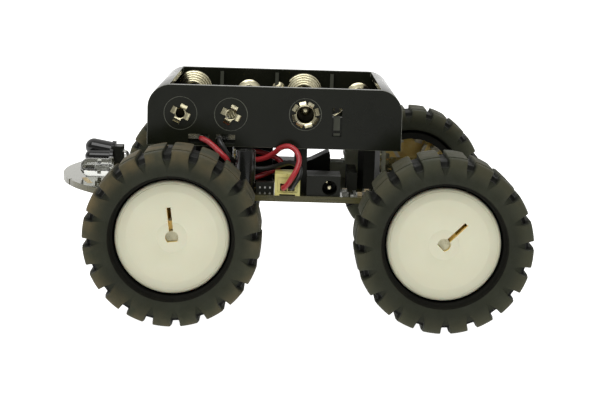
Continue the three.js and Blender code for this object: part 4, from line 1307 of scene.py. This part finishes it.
def lamp_profile(length, radius=2.45):
    profile = [(0, 0), (radius + 0.42, 0), (radius + 0.42, 0.85), (radius + 0.3, 1.0), (radius, 1.02),
               (radius, length - radius)]
    profile += [(radius * math.cos(a), length - radius + radius * math.sin(a))
                for a in (math.pi / 2 * i / 12 for i in range(1, 12))]
    return profile + [(0, length)]


def forward(x, y, z):
    return Matrix.Translation((x, y, z)) @ Matrix.Rotation(math.pi / 2, 4, "Y")


def infrared_lamp():
    low, high = node_box("infrared_lamp")
    x, y, z = low.x, (low.y + high.y) / 2, high.z - 2.87
    shape = Shape()
    shape.lathe(lamp_profile(high.x - low.x), 56, forward(x, y, z))
    shape.make("lamp", ["clear"], replaces=["infrared_lamp"], slot="clear_epoxy")
    metal = Shape()
    for side, tall in ((-1, 1.0), (1, 0.7)):
        post = y + side * 1.1
        cup = y + side * 0.75
        away = y + side * 1.27
        metal.box((x + 0.4, post - 0.25, z - 0.4), (x + 3.4, post + 0.25, z + 0.4), bevel=0.08)
        metal.box((x + 3.1, cup - 0.3, z - tall), (x + 4.1, cup + 0.3, z + tall), bevel=0.15)
        leg = [(x + 0.6, away, z), (x - 0.7, away, z), (x - 1.5, away, z - 0.5), (x - 1.7, away, z - 1.4),
               (x - 1.7, away, BOARD_BOTTOM - 1.2)]
        metal.tube(curve(leg, 5), 0.26, 10)
    metal.lathe([(0, 0), (0.6, 0), (0.8, 0.6), (0.7, 0.65), (0, 0.3)], 30, forward(x + 4.0, y - 0.3, z))
    metal.make("lamp_legs", ["solder"], slot="steel")


def infrared_receiver():
    """A black receiver bent to look slightly upwards, with a second lens on its left."""
    low, high = node_box("infrared_receiver")
    length = 8.4
    x, y, z = high.x - length, (low.y + high.y) / 2, BOARD_TOP + 2.9
    shape = Shape()
    raised = forward(x, y, z) @ Matrix.Rotation(math.radians(-10), 4, "Y")
    shape.lathe(lamp_profile(length), 56, raised)
    shape.lathe(lamp_profile(length - 0.4, 1.75), 44, forward(x, y + 3.4, z - 1.2))
    shape.make("receiver", ["epoxy"], replaces=["infrared_receiver"], slot="black_epoxy")
    collar = Shape()
    collar.box((low.x, low.y, BOARD_TOP + 0.02), (x + 0.6, high.y, z + 1.7), bevel=0.5)
    collar.box((low.x + 0.3, low.y - 0.02, BOARD_TOP + 0.02), (x, high.y + 0.02, BOARD_TOP + 1.2), bevel=0.2)
    for away in (y - 1.27, y + 1.27):
        leg = [(low.x + 0.5, away, z), (low.x - 0.6, away, z), (low.x - 1.2, away, z - 0.6),
               (low.x - 1.3, away, z - 1.6), (low.x - 1.3, away, BOARD_BOTTOM - 1.2)]
        collar.tube(curve(leg, 5), 0.26, 10, 1)
    collar.make("receiver_collar", ["black", "solder"], slot="black_epoxy")


def chip(node, legs, pitch):
    low, high = node_box(node)
    x, y = middle(low, high)
    half = (high.x - low.x) / 2 - 0.9
    shape = Shape()
    shape.box((x - half, y - half, low.z + 0.12), (x + half, y + half, high.z), bevel=0.15)
    # A thin black disc: painted shade for the pin one dimple.
    shape.rod(0.4, high.z - 0.05, high.z + 0.01, upright(x - half + 1, y - half + 1), 2, 20, 0.02)
    for side in range(4):
        turn = upright(x, y) @ spun(side * 90)
        for index in range(legs):
            t = (index - (legs - 1) / 2) * pitch
            shape.box((half - 0.1, t - 0.13, low.z + 0.45), (half + 0.4, t + 0.13, low.z + 0.62), turn, 1)
            shape.box((half + 0.28, t - 0.13, low.z + 0.02), (half + 0.42, t + 0.13, low.z + 0.62), turn, 1)
            shape.box((half + 0.28, t - 0.13, low.z), (half + 0.88, t + 0.13, low.z + 0.15), turn, 1)
    shape.make(f"{node}_package", ["black", "solder", "wire"], replaces=[node], slot="chip_plastic")


def crystal():
    low, high = node_box("crystal")
    x, y = middle(low, high)

    def loop(half_width, half_length):
        return (arc(x, y + half_length - half_width, half_width, 0, 180, 12)
                + arc(x, y - half_length + half_width, half_width, 180, 360, 12))

    shape = Shape()
    shape.prism(loop(2.3, 5.6), low.z, low.z + 0.6, bevel=0.12)
    shape.prism(loop(1.95, 5.2), low.z + 0.5, high.z, bevel=0.3)
    shape.make("crystal_can", ["can"], replaces=["crystal"], slot="can_metal")


def expansion_socket():
    low, high = node_box("expansion_socket")
    shape = Shape()
    shape.box(low, high, bevel=0.1)
    count = round((high.y - low.y) / 2.54)
    x = (low.x + high.x) / 2
    for index in range(count):
        y = low.y + (index + 0.5) * 2.54
        # A thin black plate over each hole: painted shade for the opening.
        shape.box((x - 0.62, y - 0.62, high.z - 0.02), (x + 0.62, y + 0.62, high.z + 0.012), slot=1)
        shape.box((x - 0.25, y - 0.25, BOARD_BOTTOM - 1.4), (x + 0.25, y + 0.25, low.z + 0.1), slot=2,
                  bevel=0.05)
    shape.make("expansion_strip", ["black", "wire", "gold"], replaces=["expansion_socket"],
               slot="black_plastic")


def extra_parts():
    """Parts further in on the board that are only seen past the ones at its edge."""
    shape = Shape()
    shape.box((-6.0, 20.0, BOARD_TOP), (-2.7, 26.4, BOARD_TOP + 10.8), bevel=0.15)
    # Thin black plates on top: painted shade for two holes.
    for step in (0, 2.54):
        shape.box((-5.0, 21.2 + step, BOARD_TOP + 10.7), (-3.7, 22.5 + step, BOARD_TOP + 10.82), slot=1)
    shape.make("tall_strip", ["black", "wire"], slot="black_plastic")
    turn = Matrix(((1, 0, 0, 0), (0, 0, -1, 0), (0, 1, 0, 0), (0, 0, 0, 1)))
    slant = Shape()
    outline = [(-12.4, BOARD_TOP), (-6.0, BOARD_TOP), (-6.0, BOARD_TOP + 5.6), (-7.2, BOARD_TOP + 6.0),
               (-11.9, BOARD_TOP + 8.4), (-12.4, BOARD_TOP + 7.4)]
    slant.prism(outline, -12, -5, turn, bevel=0.3)
    slant.box((-5.2, -14, BOARD_TOP), (5.4, -6, BOARD_TOP + 3.2), bevel=0.3)
    slant.box((3.0, 2.0, BOARD_TOP), (13.0, 9.0, BOARD_TOP + 8.6), bevel=0.3)
    slant.box((14.0, -6.0, BOARD_TOP), (24.0, 3.0, BOARD_TOP + 10.6), bevel=0.3)
    slant.make("inner_sockets", ["black"], slot="black_plastic")
    # These posts take the pale haze moulding, raised in tone as painted light.
    posts = Shape()
    posts.box((-21.0, -4.0, BOARD_TOP), (-16.7, 2.0, BOARD_TOP + 10.4), bevel=0.4)
    posts.box((-17.0, -4.2, BOARD_TOP), (-12.0, 1.8, BOARD_TOP + 4.2), bevel=0.4)
    posts.box((-16.7, -20.0, BOARD_TOP), (-12.4, -9.0, BOARD_TOP + 0.8), bevel=0.3)
    posts.box((-27.4, 4.0, BOARD_TOP), (-26.6, 9.0, BOARD_TOP + 9.8), bevel=0.15)
    posts.make("inner_posts", ["haze"], slot="chip_plastic")


# ---------- nodes that stay as they are ----------
def dress_nodes():
    for name in SIDES:
        node = frame["nodes"][f"motor_bracket_{name}"]
        node.data.materials.clear()
        node.data.materials.append(MAT["bracket"])
        round_edges(node, 0.25, 2)


# ---------- floor, light and camera ----------
def floor():
    """A pale floor large enough to fill the view up to the horizon."""
    data = bpy.data.meshes.new("floor")
    size = 6
    corners = [(-size, -size, 0), (size, -size, 0), (size, size, 0), (-size, size, 0)]
    data.from_pydata(corners, [], [[0, 1, 2, 3]])
    data.materials.append(floor_material())
    place_object("floor", data)


def floor_material():
    """White paper that glows from below, and falls off towards the camera's side."""
    finish = Finish("floor", Roughness=0.9, Specular_IOR_Level=0.1)
    drift = finish.noise(60, detail=3)
    finish.colour(finish.ramp(drift, (0.3, tint(184, 184, 183)), (0.7, tint(190, 190, 189))))
    glow = map_range(finish.tree, finish.along("Y"), (0.12, 0.24, 1.05, 0.12))
    finish.put(glow, finish.shader.inputs["Emission Strength"])
    finish.shader.inputs["Emission Color"].default_value = (1, 1, 1, 1)
    return finish.material


def area_light(name, place, target, size, power):
    """A soft lamp, with its places and size in metres."""
    data = bpy.data.lights.new(name, "AREA")
    data.shape = "RECTANGLE"
    data.size, data.size_y = size
    data.energy = power
    light = place_object(name, data)
    light.location = place
    light.rotation_mode = "QUATERNION"
    light.rotation_quaternion = (Vector(target) - Vector(place)).to_track_quat("-Z", "Y")


def lights():
    """A white room, darker on the camera's side, and one soft lamp high on that side."""
    world = bpy.data.worlds.new("studio")
    bpy.context.scene.world = world
    world.use_nodes = True
    tree = world.node_tree
    direction = tree.nodes.new("ShaderNodeTexCoord").outputs["Generated"]
    split = tree.nodes.new("ShaderNodeSeparateXYZ")
    tree.links.new(direction, split.inputs["Vector"])
    fall = map_range(tree, split.outputs["Y"], (-0.2, 0.6, 1.05, 0.3))
    background = tree.nodes["Background"]
    background.inputs["Color"].default_value = (1.0, 0.995, 0.975, 1)
    tree.links.new(fall, background.inputs["Strength"])
    area_light("key_softbox", (0.15, 0.7, 0.85), (0, 0, 0.02), (0.9, 0.7), 7)


def camera():
    """Stands to the robot's left, a little above it, turned so that its front points left."""
    pitch, yaw, roll = (math.radians(angle) for angle in (9.48, 0.65, 1.71))
    ahead = Vector((-math.sin(yaw) * math.cos(pitch), -math.cos(yaw) * math.cos(pitch), -math.sin(pitch)))
    right = Vector((-math.cos(yaw), math.sin(yaw), 0))
    up = right.cross(ahead)
    leaning_right = right * math.cos(roll) + up * math.sin(roll)
    leaning_up = up * math.cos(roll) - right * math.sin(roll)
    data = bpy.data.cameras.new("camera")
    data.lens = 93.68
    data.sensor_width = 36
    eye = place_object("camera", data)
    turn = Matrix((leaning_right, leaning_up, -ahead)).transposed().to_4x4()
    eye.matrix_world = Matrix.Translation(Vector((0.03, 425.45, 92.73)) * MM) @ turn
    bpy.context.scene.camera = eye


camera()
lights()
floor()
for wheel in SIDES:
    tyre(wheel)
    rim(wheel)
    output_shaft(wheel)
    gearbox(wheel)
    motor(wheel)
    bracket_fasteners(wheel)
circuit_board()
copper()
tracks()
small_parts()
battery_tray()
tray_ribs()
contact("far_front", -1, [(1.5, "spring"), (0.5, "button")])
contact("far_rear", -1, [(-0.5, "spring"), (-1.5, "button")])
contact("near_plus", 1, [(1.5, "button")])
contact("near_middle", 1, [(0.5, "spring"), (-0.5, "button")])
contact("near_minus", 1, [(-1.5, "spring")])
rivets()
for corner in range(1, 5):
    standoff(corner)
capacitor()
pin_socket()
battery_connector()
leads()
power_jack()
infrared_lamp()
infrared_receiver()
chip("controller_chip", 8, 0.8)
chip("driver_chip", 6, 0.95)
crystal()
expansion_socket()
extra_parts()
dress_nodes()
bpy.context.scene.view_settings.view_transform = "Standard"
